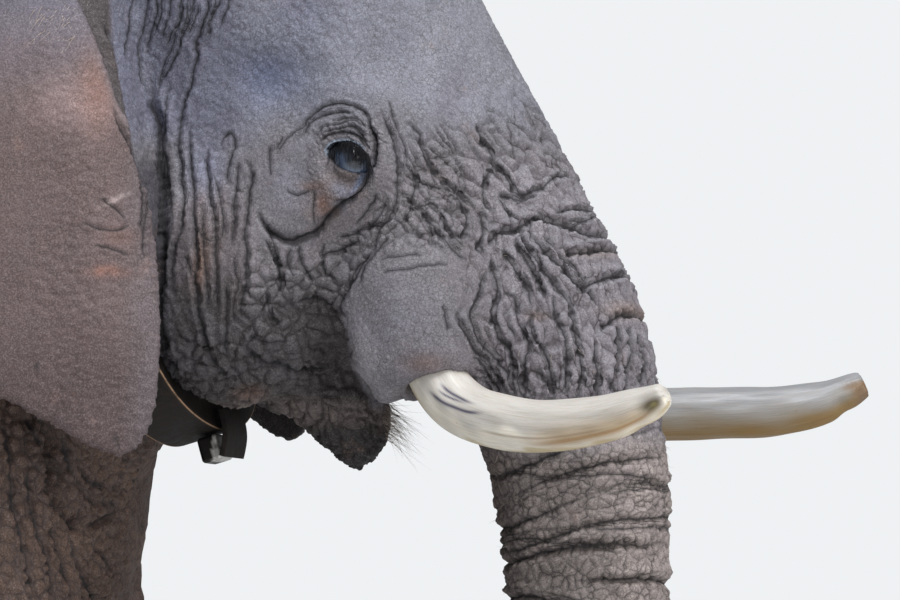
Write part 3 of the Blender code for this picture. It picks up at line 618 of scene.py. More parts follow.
# width and depth in millimetres, then points in millimetres forward of and above the eye
EYE_FOLDS = (
    (4.5, 7.0, ((20, 71), (28, 53), (35, 28), (36, 0), (24, -25), (9, -53), (-34, -88), (-64, -121),
                (-96, -128), (-124, -116), (-140, -96), (-150, -84))),
    (8.0, 8.0, ((9, -53), (-34, -88), (-64, -121), (-96, -128), (-124, -116), (-140, -96))),
    (3.2, 4.0, ((-84, 28), (-75, 50), (-56, 71), (-28, 84), (0, 82), (18, 73), (28, 54), (34, 30), (36, 6),
                (30, -14))),
    (2.6, 3.0, ((-79, 31), (-66, 53), (-47, 65), (-25, 71), (-12, 72), (4, 68))),
    (2.6, 3.0, ((-52, 24), (-47, 30), (-31, 36), (-7, 40), (15, 30), (24, 11))),
    (2.2, 2.4, ((-58, 34), (-47, 46), (-25, 53), (0, 59), (18, 48))),
    (2.0, 2.2, ((-48, 37), (-28, 44), (-6, 49), (12, 41), (22, 26))),
    (2.0, 2.0, ((-30, 60), (-13, 62), (9, 60), (24, 43))),
    (3.4, 4.0, ((40, 81), (52, 59), (62, 34), (70, 8), (72, -11), (72, -53), (59, -88), (43, -112),
                (26, -150))),
    (2.6, 3.0, ((68, 47), (83, 12), (86, -12), (99, -31), (94, -61), (86, -88), (74, -110))),
    (2.6, 3.0, ((83, 59), (105, 40), (113, 5), (136, -30), (167, -53), (195, -81))),
    (2.0, 2.0, ((82, 1), (94, -19), (102, -38), (125, -42), (152, -50))),
    (2.4, 2.0, ((55, 92), (66, 62), (74, 40))),
    (2.4, 2.0, ((-118, 6), (-103, 28), (-84, 43), (-60, 60))),
    (2.8, 3.0, ((-126, 22), (-128, 0), (-127, -28))),
    (2.4, 2.0, ((-106, 36), (-118, 12))),
    (2.4, 2.0, ((-62, -48), (-60, -76), (-57, -104))),
    (2.4, 2.0, ((-104, -50), (-84, -56), (-64, -50))),
    (2.4, 2.2, ((-26, -66), (-6, -66), (10, -58))),
    (3.4, 4.0, ((-137, -122), (-122, -150), (-114, -180), (-106, -212))),
    (3.0, 4.0, ((-84, -132), (-80, -150), (-74, -172), (-60, -196))),
    (3.0, 4.0, ((-26, -122), (2, -119), (22, -107), (56, -106))),
    (3.0, 4.0, ((-50, -150), (-24, -146), (-2, -134), (14, -130))),
    (2.6, 3.0, ((40, -52), (34, -70), (22, -84), (4, -104))),
    (2.4, 2.5, ((52, -60), (46, -84), (30, -104), (10, -116))),
    (2.4, 2.5, ((-96, -136), (-98, -160), (-90, -186))),
    (2.4, 2.5, ((-40, -128), (-46, -150), (-40, -176), (-20, -192))),
    (2.4, 2.5, ((30, -150), (8, -170), (-4, -196), (-14, -220))),
    (2.4, 2.5, ((60, -120), (40, -140), (22, -168), (10, -200))),
)
CHEEK_FOLDS = (
    (2.0, 2.5, ((-336, 300), (-340, 235), (-346, 190), (-352, 150))),
    (2.2, 2.5, ((-315, 300), (-318, 235), (-326, 195), (-330, 150), (-318, 100))),
    (2.0, 2.5, ((-300, 300), (-303, 240), (-310, 205), (-318, 160))),
    (2.0, 2.5, ((-280, 300), (-282, 235), (-290, 200), (-298, 180))),
    (2.2, 2.5, ((-266, 300), (-266, 240), (-272, 200), (-285, 160), (-296, 130), (-302, 90))),
    (2.0, 2.5, ((-252, 300), (-255, 235), (-262, 200), (-270, 165))),
    (2.0, 2.5, ((-214, 300), (-212, 250), (-220, 215), (-230, 180))),
    (7.0, 15.0, ((-314, 135), (-312, 121), (-310, 90), (-301, 59), (-296, 28), (-296, -3), (-292, -65),
                 (-296, -175), (-302, -240), (-292, -311), (-258, -370))),
    (3.6, 6.0, ((-218, 300), (-224, 245), (-225, 226), (-236, 195), (-244, 171), (-241, 152), (-251, 115),
                (-261, 78), (-267, 43), (-269, 12), (-264, -19), (-261, -69), (-268, -112), (-278, -175),
                (-272, -232))),
    (3.0, 4.0, ((-200, 300), (-207, 245), (-214, 226), (-221, 198), (-226, 180))),
    (3.0, 4.0, ((-240, 300), (-247, 239), (-255, 208), (-267, 180), (-279, 146), (-293, 121), (-300, 105))),
    (2.6, 3.0, ((-261, 242), (-267, 217), (-282, 189), (-292, 170))),
    (2.6, 3.0, ((-279, 115), (-287, 90), (-290, 59), (-293, 30), (-286, -20), (-280, -90))),
    (2.4, 2.5, ((-290, 300), (-295, 245), (-301, 208), (-309, 185))),
    (2.4, 2.5, ((-236, 240), (-244, 214), (-254, 190))),
    (2.4, 2.5, ((-186, 300), (-192, 240), (-200, 215), (-204, 196))),
    (3.8, 7.0, ((-248, 60), (-252, 12), (-247, -50), (-243, -136), (-241, -214), (-233, -264), (-216, -318),
                (-180, -356))),
    (3.6, 6.0, ((-224, 20), (-225, -11), (-220, -66), (-212, -108), (-211, -159), (-210, -214),
                (-212, -252))),
    (2.8, 3.0, ((-205, 16), (-199, 31), (-188, 40), (-180, 22), (-191, -9), (-195, -44))),
    (3.0, 4.0, ((-213, -26), (-203, -69), (-199, -110), (-206, -130))),
    (3.2, 5.0, ((-174, -3), (-180, -40), (-183, -108), (-187, -138))),
    (3.6, 6.0, ((-162, 3), (-155, -36), (-160, -60), (-165, -105), (-163, -159), (-169, -222),
                (-175, -256))),
    (3.4, 5.0, ((-146, -80), (-121, -134), (-112, -183), (-107, -211), (-90, -232))),
    (3.0, 4.5, ((-193, -190), (-196, -245), (-196, -290), (-189, -312))),
    (4.0, 5.0, ((-90, -224), (-62, -220), (-40, -226), (-22, -240))),
    (3.0, 4.0, ((-130, -206), (-128, -234), (-112, -262))),
    (4.0, 5.0, ((-170, -300), (-120, -322), (-70, -330), (-30, -322))),
    (2.6, 3.0, ((-232, -70), (-230, -130), (-226, -190), (-222, -240))),
    (2.2, 2.0, ((-262, -150), (-252, -172), (-244, -186))),
    (2.2, 2.0, ((-240, -110), (-228, -124), (-214, -128))),
    (2.4, 2.5, ((-184, -150), (-178, -190), (-184, -232), (-180, -262))),
    (2.4, 2.5, ((-160, -276), (-130, -286), (-96, -284))),
)
ROOT_FOLDS = (
    (4.0, 5.0, ((164, -57), (172, -76), (179, -96), (171, -123))),
    (4.2, 5.0, ((202, -80), (203, -112), (196, -139), (202, -150))),
    (5.0, 8.0, ((198, -139), (218, -127), (229, -115), (253, -112), (272, -100), (291, -92), (322, -100),
                (353, -112), (392, -123), (412, -122))),
    (3.4, 4.0, ((226, -57), (253, -61), (276, -61), (286, -50))),
    (4.0, 5.0, ((212, 6), (236, -22), (245, -38), (264, -57), (295, -46), (315, -30), (350, -26))),
    (3.4, 4.0, ((192, 56), (204, 30), (220, 0))),
    (4.0, 5.0, ((311, -84), (330, -81), (353, -77), (380, -86), (394, -90))),
    (3.0, 4.0, ((334, -100), (365, -96), (384, -84))),
    (5.0, 8.0, ((330, -150), (346, -146), (373, -143), (416, -143))),
    (5.0, 8.0, ((350, -204), (369, -197), (392, -187), (415, -181), (445, -177))),
    (5.0, 7.0, ((380, -262), (392, -259), (415, -247), (455, -243))),
    (3.4, 5.0, ((214, -143), (218, -170), (226, -205), (218, -239), (226, -278), (245, -298), (249, -336),
                (253, -371))),
    (4.0, 6.0, ((210, -170), (202, -201), (187, -236), (187, -251), (198, -282), (226, -317), (249, -348))),
    (3.4, 5.0, ((229, -139), (253, -170), (272, -205), (284, -236))),
    (3.4, 5.0, ((249, -131), (272, -162), (291, -193), (299, -220))),
    (3.6, 5.5, ((256, -108), (276, -143), (295, -170), (315, -193), (334, -220), (342, -251))),
    (3.6, 5.5, ((276, -112), (299, -143), (322, -166), (350, -197), (373, -216), (388, -239))),
    (3.0, 4.5, ((295, -119), (322, -150), (346, -174), (365, -197))),
    (3.4, 5.0, ((237, -205), (253, -220), (256, -251), (272, -282), (268, -317), (268, -371))),
    (3.4, 5.0, ((311, -205), (315, -239), (330, -282), (334, -317), (330, -371))),
    (3.4, 5.0, ((334, -220), (346, -259), (353, -298), (357, -336), (350, -371))),
    (3.4, 5.0, ((373, -274), (381, -317), (381, -371))),
    (3.4, 5.0, ((412, -259), (415, -298), (408, -336), (404, -371))),
    (3.0, 4.5, ((427, -259), (435, -298), (427, -336), (423, -371))),
    (3.0, 4.5, ((443, -267), (454, -317), (450, -360))),
    (3.0, 4.5, ((284, -239), (276, -259), (295, -298), (307, -325), (311, -371))),
    (4.2, 6.0, ((164, -236), (171, -259), (191, -294), (214, -321), (229, -344), (237, -367))),
    (2.8, 3.0, ((140, -224), (146, -251), (150, -270))),
    (3.2, 4.0, ((187, -305), (206, -321), (218, -344), (229, -367))),
    (3.4, 4.0, ((-8, -250), (-19, -230), (-8, -205), (14, -170), (30, -140), (43, -112))),
    (1.6, 1.2, ((43, -177), (74, -174), (113, -166), (152, -166))),
    (1.6, 1.2, ((43, -158), (82, -150), (109, -150))),
    (2.4, 2.0, ((120, -70), (140, -92), (150, -112), (176, -140))),
    (2.4, 2.5, ((100, -70), (122, -100), (150, -134), (182, -160))),
    (2.6, 3.0, ((228, -60), (240, -84), (262, -98))),
    (2.6, 3.0, ((222, -12), (206, -34), (204, -62), (220, -84))),
)
EAR_FOLDS = (
    (5.0, 8.0, ((-384, 210), (-372, 184), (-364, 165), (-350, 115), (-340, 70), (-330, 28))),
    (3.0, 4.0, ((-372, 84), (-363, 62), (-350, 30), (-336, 3), (-324, -50), (-326, -90), (-329, -125))),
    (2.4, 3.0, ((-318, -10), (-314, -40), (-318, -74), (-324, -120), (-320, -160))),
    (2.2, 1.5, ((-392, -62), (-366, -78), (-348, -96))),
    (2.2, 1.5, ((-420, -100), (-380, -112), (-340, -104))),
    (2.2, 1.5, ((-400, -132), (-370, -142), (-344, -150))),
)
NECK_FOLDS = (
    (10.0, 22.0, ((-478, -390), (-473, -409), (-467, -446), (-465, -484), (-465, -515), (-453, -539),
                  (-437, -558), (-422, -577), (-405, -584))),
    (4.0, 6.0, ((-434, -434), (-428, -468), (-416, -490), (-397, -505), (-370, -516))),
    (4.0, 5.0, ((-506, -403), (-493, -431), (-481, -446))),
    (4.0, 6.0, ((-453, -431), (-444, -468), (-431, -499), (-413, -524), (-391, -542))),
    (5.0, 9.0, ((-410, -573), (-385, -561), (-360, -546), (-335, -533), (-317, -524))),
    (3.4, 5.0, ((-360, -465), (-341, -474), (-317, -468), (-296, -456))),
    (3.4, 5.0, ((-366, -487), (-344, -502), (-329, -493), (-300, -484))),
    (3.4, 5.0, ((-372, -505), (-348, -521), (-310, -505))),
    (3.4, 5.0, ((-379, -530), (-354, -536), (-341, -530))),
    (4.0, 5.0, ((-540, -400), (-530, -460), (-528, -520), (-515, -580), (-500, -640), (-496, -690))),
    (4.0, 5.0, ((-500, -470), (-502, -520), (-490, -570), (-470, -620), (-462, -690))),
    (4.0, 5.0, ((-470, -570), (-450, -620), (-430, -690))),
    (4.0, 5.0, ((-440, -590), (-420, -640), (-390, -700))),
    (4.0, 5.0, ((-400, -600), (-370, -640), (-350, -700))),
    (4.0, 5.0, ((-360, -570), (-340, -620), (-335, -690))),
)
# the trunk's rings: height at the trunk's middle, rise over its thickness, depth, in millimetres
TRUNK_RINGS = (
    (2010, 90, 5), (1968, 96, 6), (1930, 92, 7), (1888, 80, 9), (1846, 60, 8), (1822, 26, 14),
    (1776, 4, 14), (1738, -24, 11), (1700, -10, 7), (1668, 10, 12), (1616, -14, 12), (1578, 4, 7),
    (1540, 12, 12),
)


class Lines:
    """The nearest fold's line at each point: how far off, on which side, and how wide by half."""

    def __init__(self, count):
        self.gap = np.full(count, 9.0)
        self.off = np.full(count, 9.0)
        self.wide = np.full(count, -1.0)

    def take(self, near, off, wide):
        """Notes a line's distances in metres, and half widths in millimetres, where it is the nearest."""
        off = off / MM
        closer = (np.abs(off) < self.gap[near]) & (wide > -0.9)
        chosen = near[closer]
        self.gap[chosen] = np.abs(off)[closer]
        self.off[chosen] = off[closer]
        self.wide[chosen] = wide[closer]

    def keep(self, mesh):
        store(mesh, "fold gap", self.gap)
        store(mesh, "fold off", self.off)
        store(mesh, "fold wide", self.wide)


def press(points, height, found, lines, mask, lip=0.35, wander=1.5):
    """Adds the height and the lines of a set of folds."""
    a, b = eye_view(points)
    flat = np.stack([a, b], axis=1)
    a = a + ripple(flat, 0.055, 3) * wander * MM + ripple(flat, 0.017, 5) * 0.7 * MM
    b = b + ripple(flat, 0.060, 4) * wander * MM + ripple(flat, 0.019, 6) * 0.7 * MM
    for width, depth, line in lines:
        reach = max(1.5 * width, 4.0) * MM
        near, off, side, place = along_line(a, b, np.array(line) * MM, reach * 3)
        ends = step(0.0, 0.14, place) * step(1.0, 0.86, place) * mask[near]
        groove = np.clip(1 - off / reach, 0.0, 1.0) ** 1.5
        rim = bell(off - 1.5 * reach, 0.9 * reach)
        height[near] += depth * MM * ends * (lip * rim - groove)
        found.take(near, off * side, -1.0 + ends * (1.45 + 0.20 * width))


def side_facing(points):
    return step(0.03, 0.10, np.abs(points[:, 1]))


def trunk_middle(z):
    return np.interp(z, (0.55, 0.75, 1.2, 1.6, 2.0), (1.00, 1.02, 1.07, 1.10, 1.08))


TRUNK_THICK = 0.27  # fore and aft, below the tusks


def is_trunk(points):
    """1 on the trunk below the tusks."""
    x, _, z = points.T
    return step(2.04, 1.96, z) * np.maximum(step(0.86, 0.92, x), step(1.80, 1.74, z))


def ring_trunk(points, height, found):
    x, y, z = points.T
    hanging = is_trunk(points) * step(0.60, 0.75, z)
    around = np.arctan2(y, x - trunk_middle(z))
    wave = np.stack([np.cos(around) * 0.12, np.sin(around) * 0.12, z], axis=1)
    draw = np.random.default_rng(21)
    rings = [(h * MM, rise * MM, depth * MM) for h, rise, depth in TRUNK_RINGS]
    level = rings[-1][0]
    while level > 0.66:
        level -= draw.uniform(0.034, 0.056) * (0.6 + 0.4 * level)
        rings.append((level, draw.uniform(-0.03, 0.03), draw.uniform(0.006, 0.011) * (0.45 + 0.4 * level)))
    level = 1.96
    while level > 0.70:  # lighter rings between
        level -= draw.uniform(0.015, 0.030)
        rings.append((level, draw.uniform(-0.05, 0.05), draw.uniform(0.0025, 0.0045)))
    for number, (level, rise, depth) in enumerate(rings):
        line = level + rise * (x - trunk_middle(z)) / TRUNK_THICK + 0.007 * ripple(wave, 0.16, 30 + number)
        line += 0.0015 * ripple(wave, 0.035, 130 + number)
        near = np.flatnonzero(np.abs(z - line) < 0.06)
        off = z[near] - line[near]
        bold = depth > 0.005
        strength = hanging[near] * step(-0.9 if bold else -0.2, 0.3, ripple(wave[near], 0.30, 60 + number))
        reach = 0.0105 if bold else 0.006
        height[near] -= depth * strength * np.clip(1 - np.abs(off) / reach, 0.0, 1.0) ** 1.6
        if bold:
            height[near] += 0.50 * depth * strength * bell(off - 0.013, 0.010)
            height[near] += 0.30 * depth * strength * bell(off + 0.015, 0.012)
        close = np.abs(off) < 0.009
        found.take(near[close], off[close], -1.0 + strength[close] * (2.6 if bold else 1.8))


# forms in millimetres: forward of and above the eye, half sizes, how far out, lean in degrees
HEAD_FORMS = (
    ("temple hollow", -143, 128, 62, 44, -15, -10),
    ("hollow over the temple", -80, 226, 46, 50, -12, 0),
    ("valley before the brow", 158, 118, 22, 62, -6, 25),
    ("brow", -14, 104, 80, 26, 6, 0),
    ("ridge between the hollows", -40, 165, 90, 24, 5, -45),
    ("eye bag", -20, -58, 40, 36, 11, -40),
    ("bag behind the eye", -88, -84, 44, 32, 10, 0),
    ("hollow behind the eye", -92, -12, 34, 26, -4, 0),
    ("hollow under the bags", -60, -140, 70, 18, -5, -20),
    ("mouth corner", -54, -262, 26, 42, -18, 20),
    ("sheath's rear edge", 16, -312, 20, 62, 11, 12),
    ("lip over the tusk", 112, -340, 60, 16, 8, -8),
    ("corner of the sheath", 38, -376, 24, 20, 12, 0),
    ("sheath's lower edge", 86, -386, 34, 17, -24, 15),
    ("sheath", 80, -262, 76, 92, 8, 0),
    ("hollow before the sheath", 204, -250, 26, 90, -9, 8),
    ("cheek muscle", -120, -150, 46, 52, 6, 0),
    ("jaw bulge", -90, -292, 60, 30, 8, 0),
)


def swell(points, height, forms, mask):
    a, b = eye_view(points)
    for _, forward, up, long, tall, out, lean in forms:
        c, s = math.cos(math.radians(lean)), math.sin(math.radians(lean))
        da, db = a - forward * MM, b - up * MM
        p, q = c * da + s * db, c * db - s * da
        height += out * MM * mask * np.exp(-((p / (long * MM)) ** 2) - (q / (tall * MM)) ** 2)


# ---------------------------------------------------------------- the eye's opening
LID_MIDDLE = (-6 * MM, -1 * MM)
LID_LEAN = math.radians(-27)
LID_HALF = (38 * MM, 27 * MM, 17 * MM)  # long way, above and below
LID_POWER, LID_SLOPE = 1.9, 0.9  # how square the opening's corners are, and one less
BALL = 0.032  # the eyeball's radius


def lid_distance(a, b):
    """Distance outside the opening's edge and the way out of it."""
    c, s = math.cos(LID_LEAN), math.sin(LID_LEAN)
    p = c * (a - LID_MIDDLE[0]) + s * (b - LID_MIDDLE[1])
    q = c * (b - LID_MIDDLE[1]) - s * (a - LID_MIDDLE[0])
    tall = np.where(q > 0, LID_HALF[1], LID_HALF[2])
    f = np.abs(p / LID_HALF[0]) ** LID_POWER + np.abs(q / tall) ** LID_POWER - 1
    gp = LID_POWER * np.sign(p) * np.abs(p / LID_HALF[0]) ** LID_SLOPE / LID_HALF[0]
    gq = LID_POWER * np.sign(q) * np.abs(q / tall) ** LID_SLOPE / tall
    size = np.maximum(np.hypot(gp, gq), 8.0)
    return f / size, (c * gp - s * gq) / size, (s * gp + c * gq) / size


def shape_lids(points):
    """Drapes the skin over the eyeball and opens it between the lids."""
    x, y, z = points.T
    a, b = x - EYE.x, z - EYE.z
    close = np.flatnonzero((np.hypot(a, b) < 0.10) & (np.abs(y) > 0.2))
    a, b, out, side = a[close], b[close], np.abs(y[close]), np.sign(y[close])
    s, wa, wb = lid_distance(a, b)
    snap = np.abs(s) < 1.0 * MM
    a = np.where(snap, a - s * wa, a)
    b = np.where(snap, b - s * wb, b)
    s = np.where(snap, 0.0, s)
    r = np.hypot(a, b)
    roll = 1.2 * MM + 3.6 * MM * step(0.0, 5.0 * MM, s)
    over = EYE.y + np.sqrt(np.maximum((BALL + roll) ** 2 - r**2, 0.0))
    seat = np.maximum(over, EYE.y + 0.017 + 0.008 * step(0.03, 0.06, r))
    share = step(0.075, 0.042, r)
    out = out + share * (seat - out)
    out = np.where(s < -0.2 * MM, EYE.y - 0.004, out)
    points[close, 0] = a + EYE.x
    points[close, 1] = out * side
    points[close, 2] = b + EYE.z
    return points


# ---------------------------------------------------------------- wrinkle relief
# name of the attribute that says where, cell size in millimetres, lean in degrees, groove's share of a cell,
# depth, fine depth and the cells' wander in millimetres
RELIEFS = (
    ("pebble", (10, 14, 12), 30, 0.22, 0.9, 0.3, 14),
    ("cells", (16, 22, 22), 24, 0.17, 3.2, 1.0, 30),
    ("columns", (17, 30, 60), 16, 0.17, 4.0, 0.9, 28),
    ("cheek", (30, 44, 30), 2, 0.12, 1.6, 0.9, 30),
    ("puffs", (25, 30, 25), 20, 0.17, 5.0, 1.4, 34),
    ("weave", (17, 30, 50), 44, 0.18, 4.6, 1.2, 22),
    ("grid", (8, 11, 9), 10, 0.16, 1.0, 0.4, 14),
    ("links", (17, 20, 16), 4, 0.17, 2.4, 0.8, 22),
    ("diamond", (17, 24, 24), 30, 0.20, 4.5, 1.0, 16),
    ("creases", (42, 62, 70), 12, 0.11, 5.0, 1.4, 50),
    ("leaf", (30, 30, 12), 6, 0.20, 1.3, 0.6, 24),
)
# the reliefs whose cell borders also get painted shade
LINED = ("pebble", "cells", "columns", "puffs", "weave", "grid", "links", "diamond", "creases")


def press_reliefs(obj, names, material):
    for number, (name, _, _, groove, depth, fine, _) in enumerate(RELIEFS):
        if name not in names:
            continue
        add_nodes(obj, relief_tree(number), {
            "Where": name, "Groove": groove, "Depth": depth * MM, "Fine depth": fine * MM, "Finish": material,
        })
    applied(obj)


RELIEF_WARP = (24.0, 2.0)  # scale and detail of the noise that bends every kind of cell


def cell_place(tree, rest, stray, number):
    """Where a point lies among one relief's cells; the relief and the hide's colour both use it."""
    _, cell, lean, _, _, _, wander = RELIEFS[number]
    start = vector_maths(tree, "ADD", rest, (3.1 * number, 0.7, 0.3))
    moved = vector_maths(tree, "ADD", start, vector_maths(tree, "MULTIPLY", stray, (wander * MM,) * 3))
    turned = node(tree, "ShaderNodeVectorRotate", {"Vector": moved, "Angle": math.radians(lean)},
                  rotation_type="Y_AXIS")
    return vector_maths(tree, "DIVIDE", turned, [size * MM for size in cell])


def warp(tree, rest):
    stray = noise(tree, rest, *RELIEF_WARP, 0.5, "Color")
    return vector_maths(tree, "SUBTRACT", stray, (0.5, 0.5, 0.5))


def relief_tree(number):
    """Geometry Nodes: skin cells parted by grooves, pressed into a surface where an attribute says."""
    tree, given = new_group("skin relief " + RELIEFS[number][0], (
        ("Where", "String"),
        ("Groove", "Float"),
        ("Depth", "Float"),
        ("Fine depth", "Float"),
        ("Finish", "Material"),
    ))
    rest = node(tree, "GeometryNodeInputNamedAttribute", {"Name": "rest"}, data_type="FLOAT_VECTOR")
    where = cell_place(tree, rest, warp(tree, rest), number)
    coarse = cell_edges(tree, where, 1.0)
    fine = cell_edges(tree, where, 2.3)
    share = node(tree, "GeometryNodeInputNamedAttribute", {"Name": given["Where"]}, data_type="FLOAT")
    groove = node(tree, "ShaderNodeMapRange", {0: coarse, 1: 0.0, 2: given["Groove"], 3: 1.0, 4: 0.0},
                  interpolation_type="SMOOTHSTEP")
    pillow = ramp(tree, coarse, 0.0, 0.42, 0.0, 0.45)
    crack = ramp(tree, fine, 0.0, 0.20, 1.0, 0.0)
    deep = maths(tree, "MULTIPLY", maths(tree, "SUBTRACT", pillow, groove), given["Depth"])
    shallow = maths(tree, "MULTIPLY", crack, given["Fine depth"])
    height = maths(tree, "MULTIPLY", maths(tree, "SUBTRACT", deep, shallow), share)
    normal = node(tree, "GeometryNodeInputNormal")
    offset = node(tree, "ShaderNodeVectorMath", {0: normal, "Scale": height}, operation="SCALE")
    moved = node(tree, "GeometryNodeSetPosition", {"Geometry": given["Geometry"], "Offset": offset})
    real = node(tree, "GeometryNodeRealizeInstances", {"Geometry": moved})
    painted = node(tree, "GeometryNodeSetMaterial", {"Geometry": real, "Material": given["Finish"]})
    return give_back(tree, painted)


def store(mesh, name, values, kind="FLOAT"):
    made = mesh.attributes.new(name, kind, "POINT")
    if kind == "FLOAT":
        made.data.foreach_set("value", values.astype(np.float32))
    elif kind == "FLOAT_VECTOR":
        made.data.foreach_set("vector", values.astype(np.float32).ravel())
    else:
        colour = np.ones((len(values), 4), np.float32)
        colour[:, :3] = values
        made.data.foreach_set("color", colour.ravel())


def sheath_edge(b):
    """How far forward of the eye the tusk's sheath ends behind, over the open mouth."""
    heights = (-0.396, -0.390, -0.360, -0.325, -0.285, -0.230, -0.112)
    return np.interp(b, heights, (0.050, 0.034, 0.023, 0.003, -0.006, -0.019, 0.043))


def head_shares(points):
    """How strongly each relief shows on the head, ears and trunk."""
    x, _, z = points.T
    a, b = eye_view(points)
    ear = ear_share(points)
    flesh = 1 - ear
    trunk = is_trunk(points)
    face = flesh * (1 - trunk)
    wave = ripple(points, 0.09, 11) * 0.02
    front = step(0.16, 0.22, a + wave)
    root = face * front * step(0.07, -0.02, b + 0.4 * (a - 0.2) + wave)
    sheath = face * (1 - front) * step(-0.01, 0.01, a - sheath_edge(b)) * step(-0.12, -0.17, b + wave)
    back = face * step(-0.13, -0.18, a + wave) * step(0.12, 0.02, b + wave)
    high = face * step(-0.02, 0.05, b + wave) * (1 - back) * (1 - 0.7 * root)
    under = face * (1 - front) * (1 - sheath) * step(-0.02, -0.10, b - 0.35 * a + wave) * (1 - back)
    bags = 1 - step(1.15, 0.85, np.hypot((a + 0.055) / 0.105, (b + 0.055 - 0.35 * a) / 0.075))
    chest = flesh * step(0.50, 0.44, x) * step(2.45, 2.3, z) * (1 - face * step(-0.36, -0.30, a))
    low = face * (1 - sheath) * step(0.03, -0.01, a)
    low = low * step(-0.19, -0.15, a + wave) * step(-0.13, -0.19, b + wave)
    network = face * step(0.05, 0.11, a + wave) * step(0.10, 0.02, b - 0.25 * (a - 0.2) + wave)
    network = network * step(-0.17, -0.12, b + wave) * step(-0.24, -0.12, b + 0.8 * (a - 0.05))
    columns = root * step(-0.03, -0.10, b + wave)
    return {
        "pebble": face * (0.75 + 0.35 * high),
        "cells": np.clip(under, 0, 1) * (0.25 + 0.75 * bags) * (1 - low) + 0.3 * back * step(-0.10, -0.22, b),
        "columns": columns + 0.2 * sheath * step(0.10, 0.16, a),
        "cheek": back,
        "puffs": low + face * step(-0.13, -0.17, a + wave) * step(-0.24, -0.30, b + wave)
        + 0.6 * face * (1 - sheath) * step(0.0, 0.03, a) * step(-0.30, -0.34, b) + 0.8 * chest,
        "weave": network * (1 - 0.8 * columns) + 0.5 * root * step(-0.05, 0.02, b) + 0.22 * high,
        "grid": 0.5 * sheath + 0.2 * high * step(0.10, 0.18, a),
        "links": trunk,
        "leaf": ear * (1.0 + 0.4 * ripple(points, 0.2, 15)),
    }


def body_shares(points):
    """How strongly each relief shows on the body."""
    x, _, z = points.T
    wave = ripple(points, 0.3, 12) * 0.05
    neck = step(-0.15, 0.10, x + wave) * step(1.0, 1.3, z)
    legs = step(1.35, 1.1, z + wave)
    flank = (1 - neck) * (1 - legs)
    return {
        "diamond": neck,
        "creases": flank * (0.75 + 0.25 * ripple(points, 0.5, 13)) + 0.8 * legs + 0.3 * neck,
        "links": 0.55 * legs * step(0.10, 0.25, z),
    }


# ---------------------------------------------------------------- colours, painted on the skin's points
def paint(colour, target, share):
    colour += np.clip(share, 0, 1)[:, None] * (np.array(target) - colour)


def blot(a, b, forward, up, long, tall):
    return np.exp(-(((a - forward * MM) / (long * MM)) ** 2) - ((b - up * MM) / (tall * MM)) ** 2)


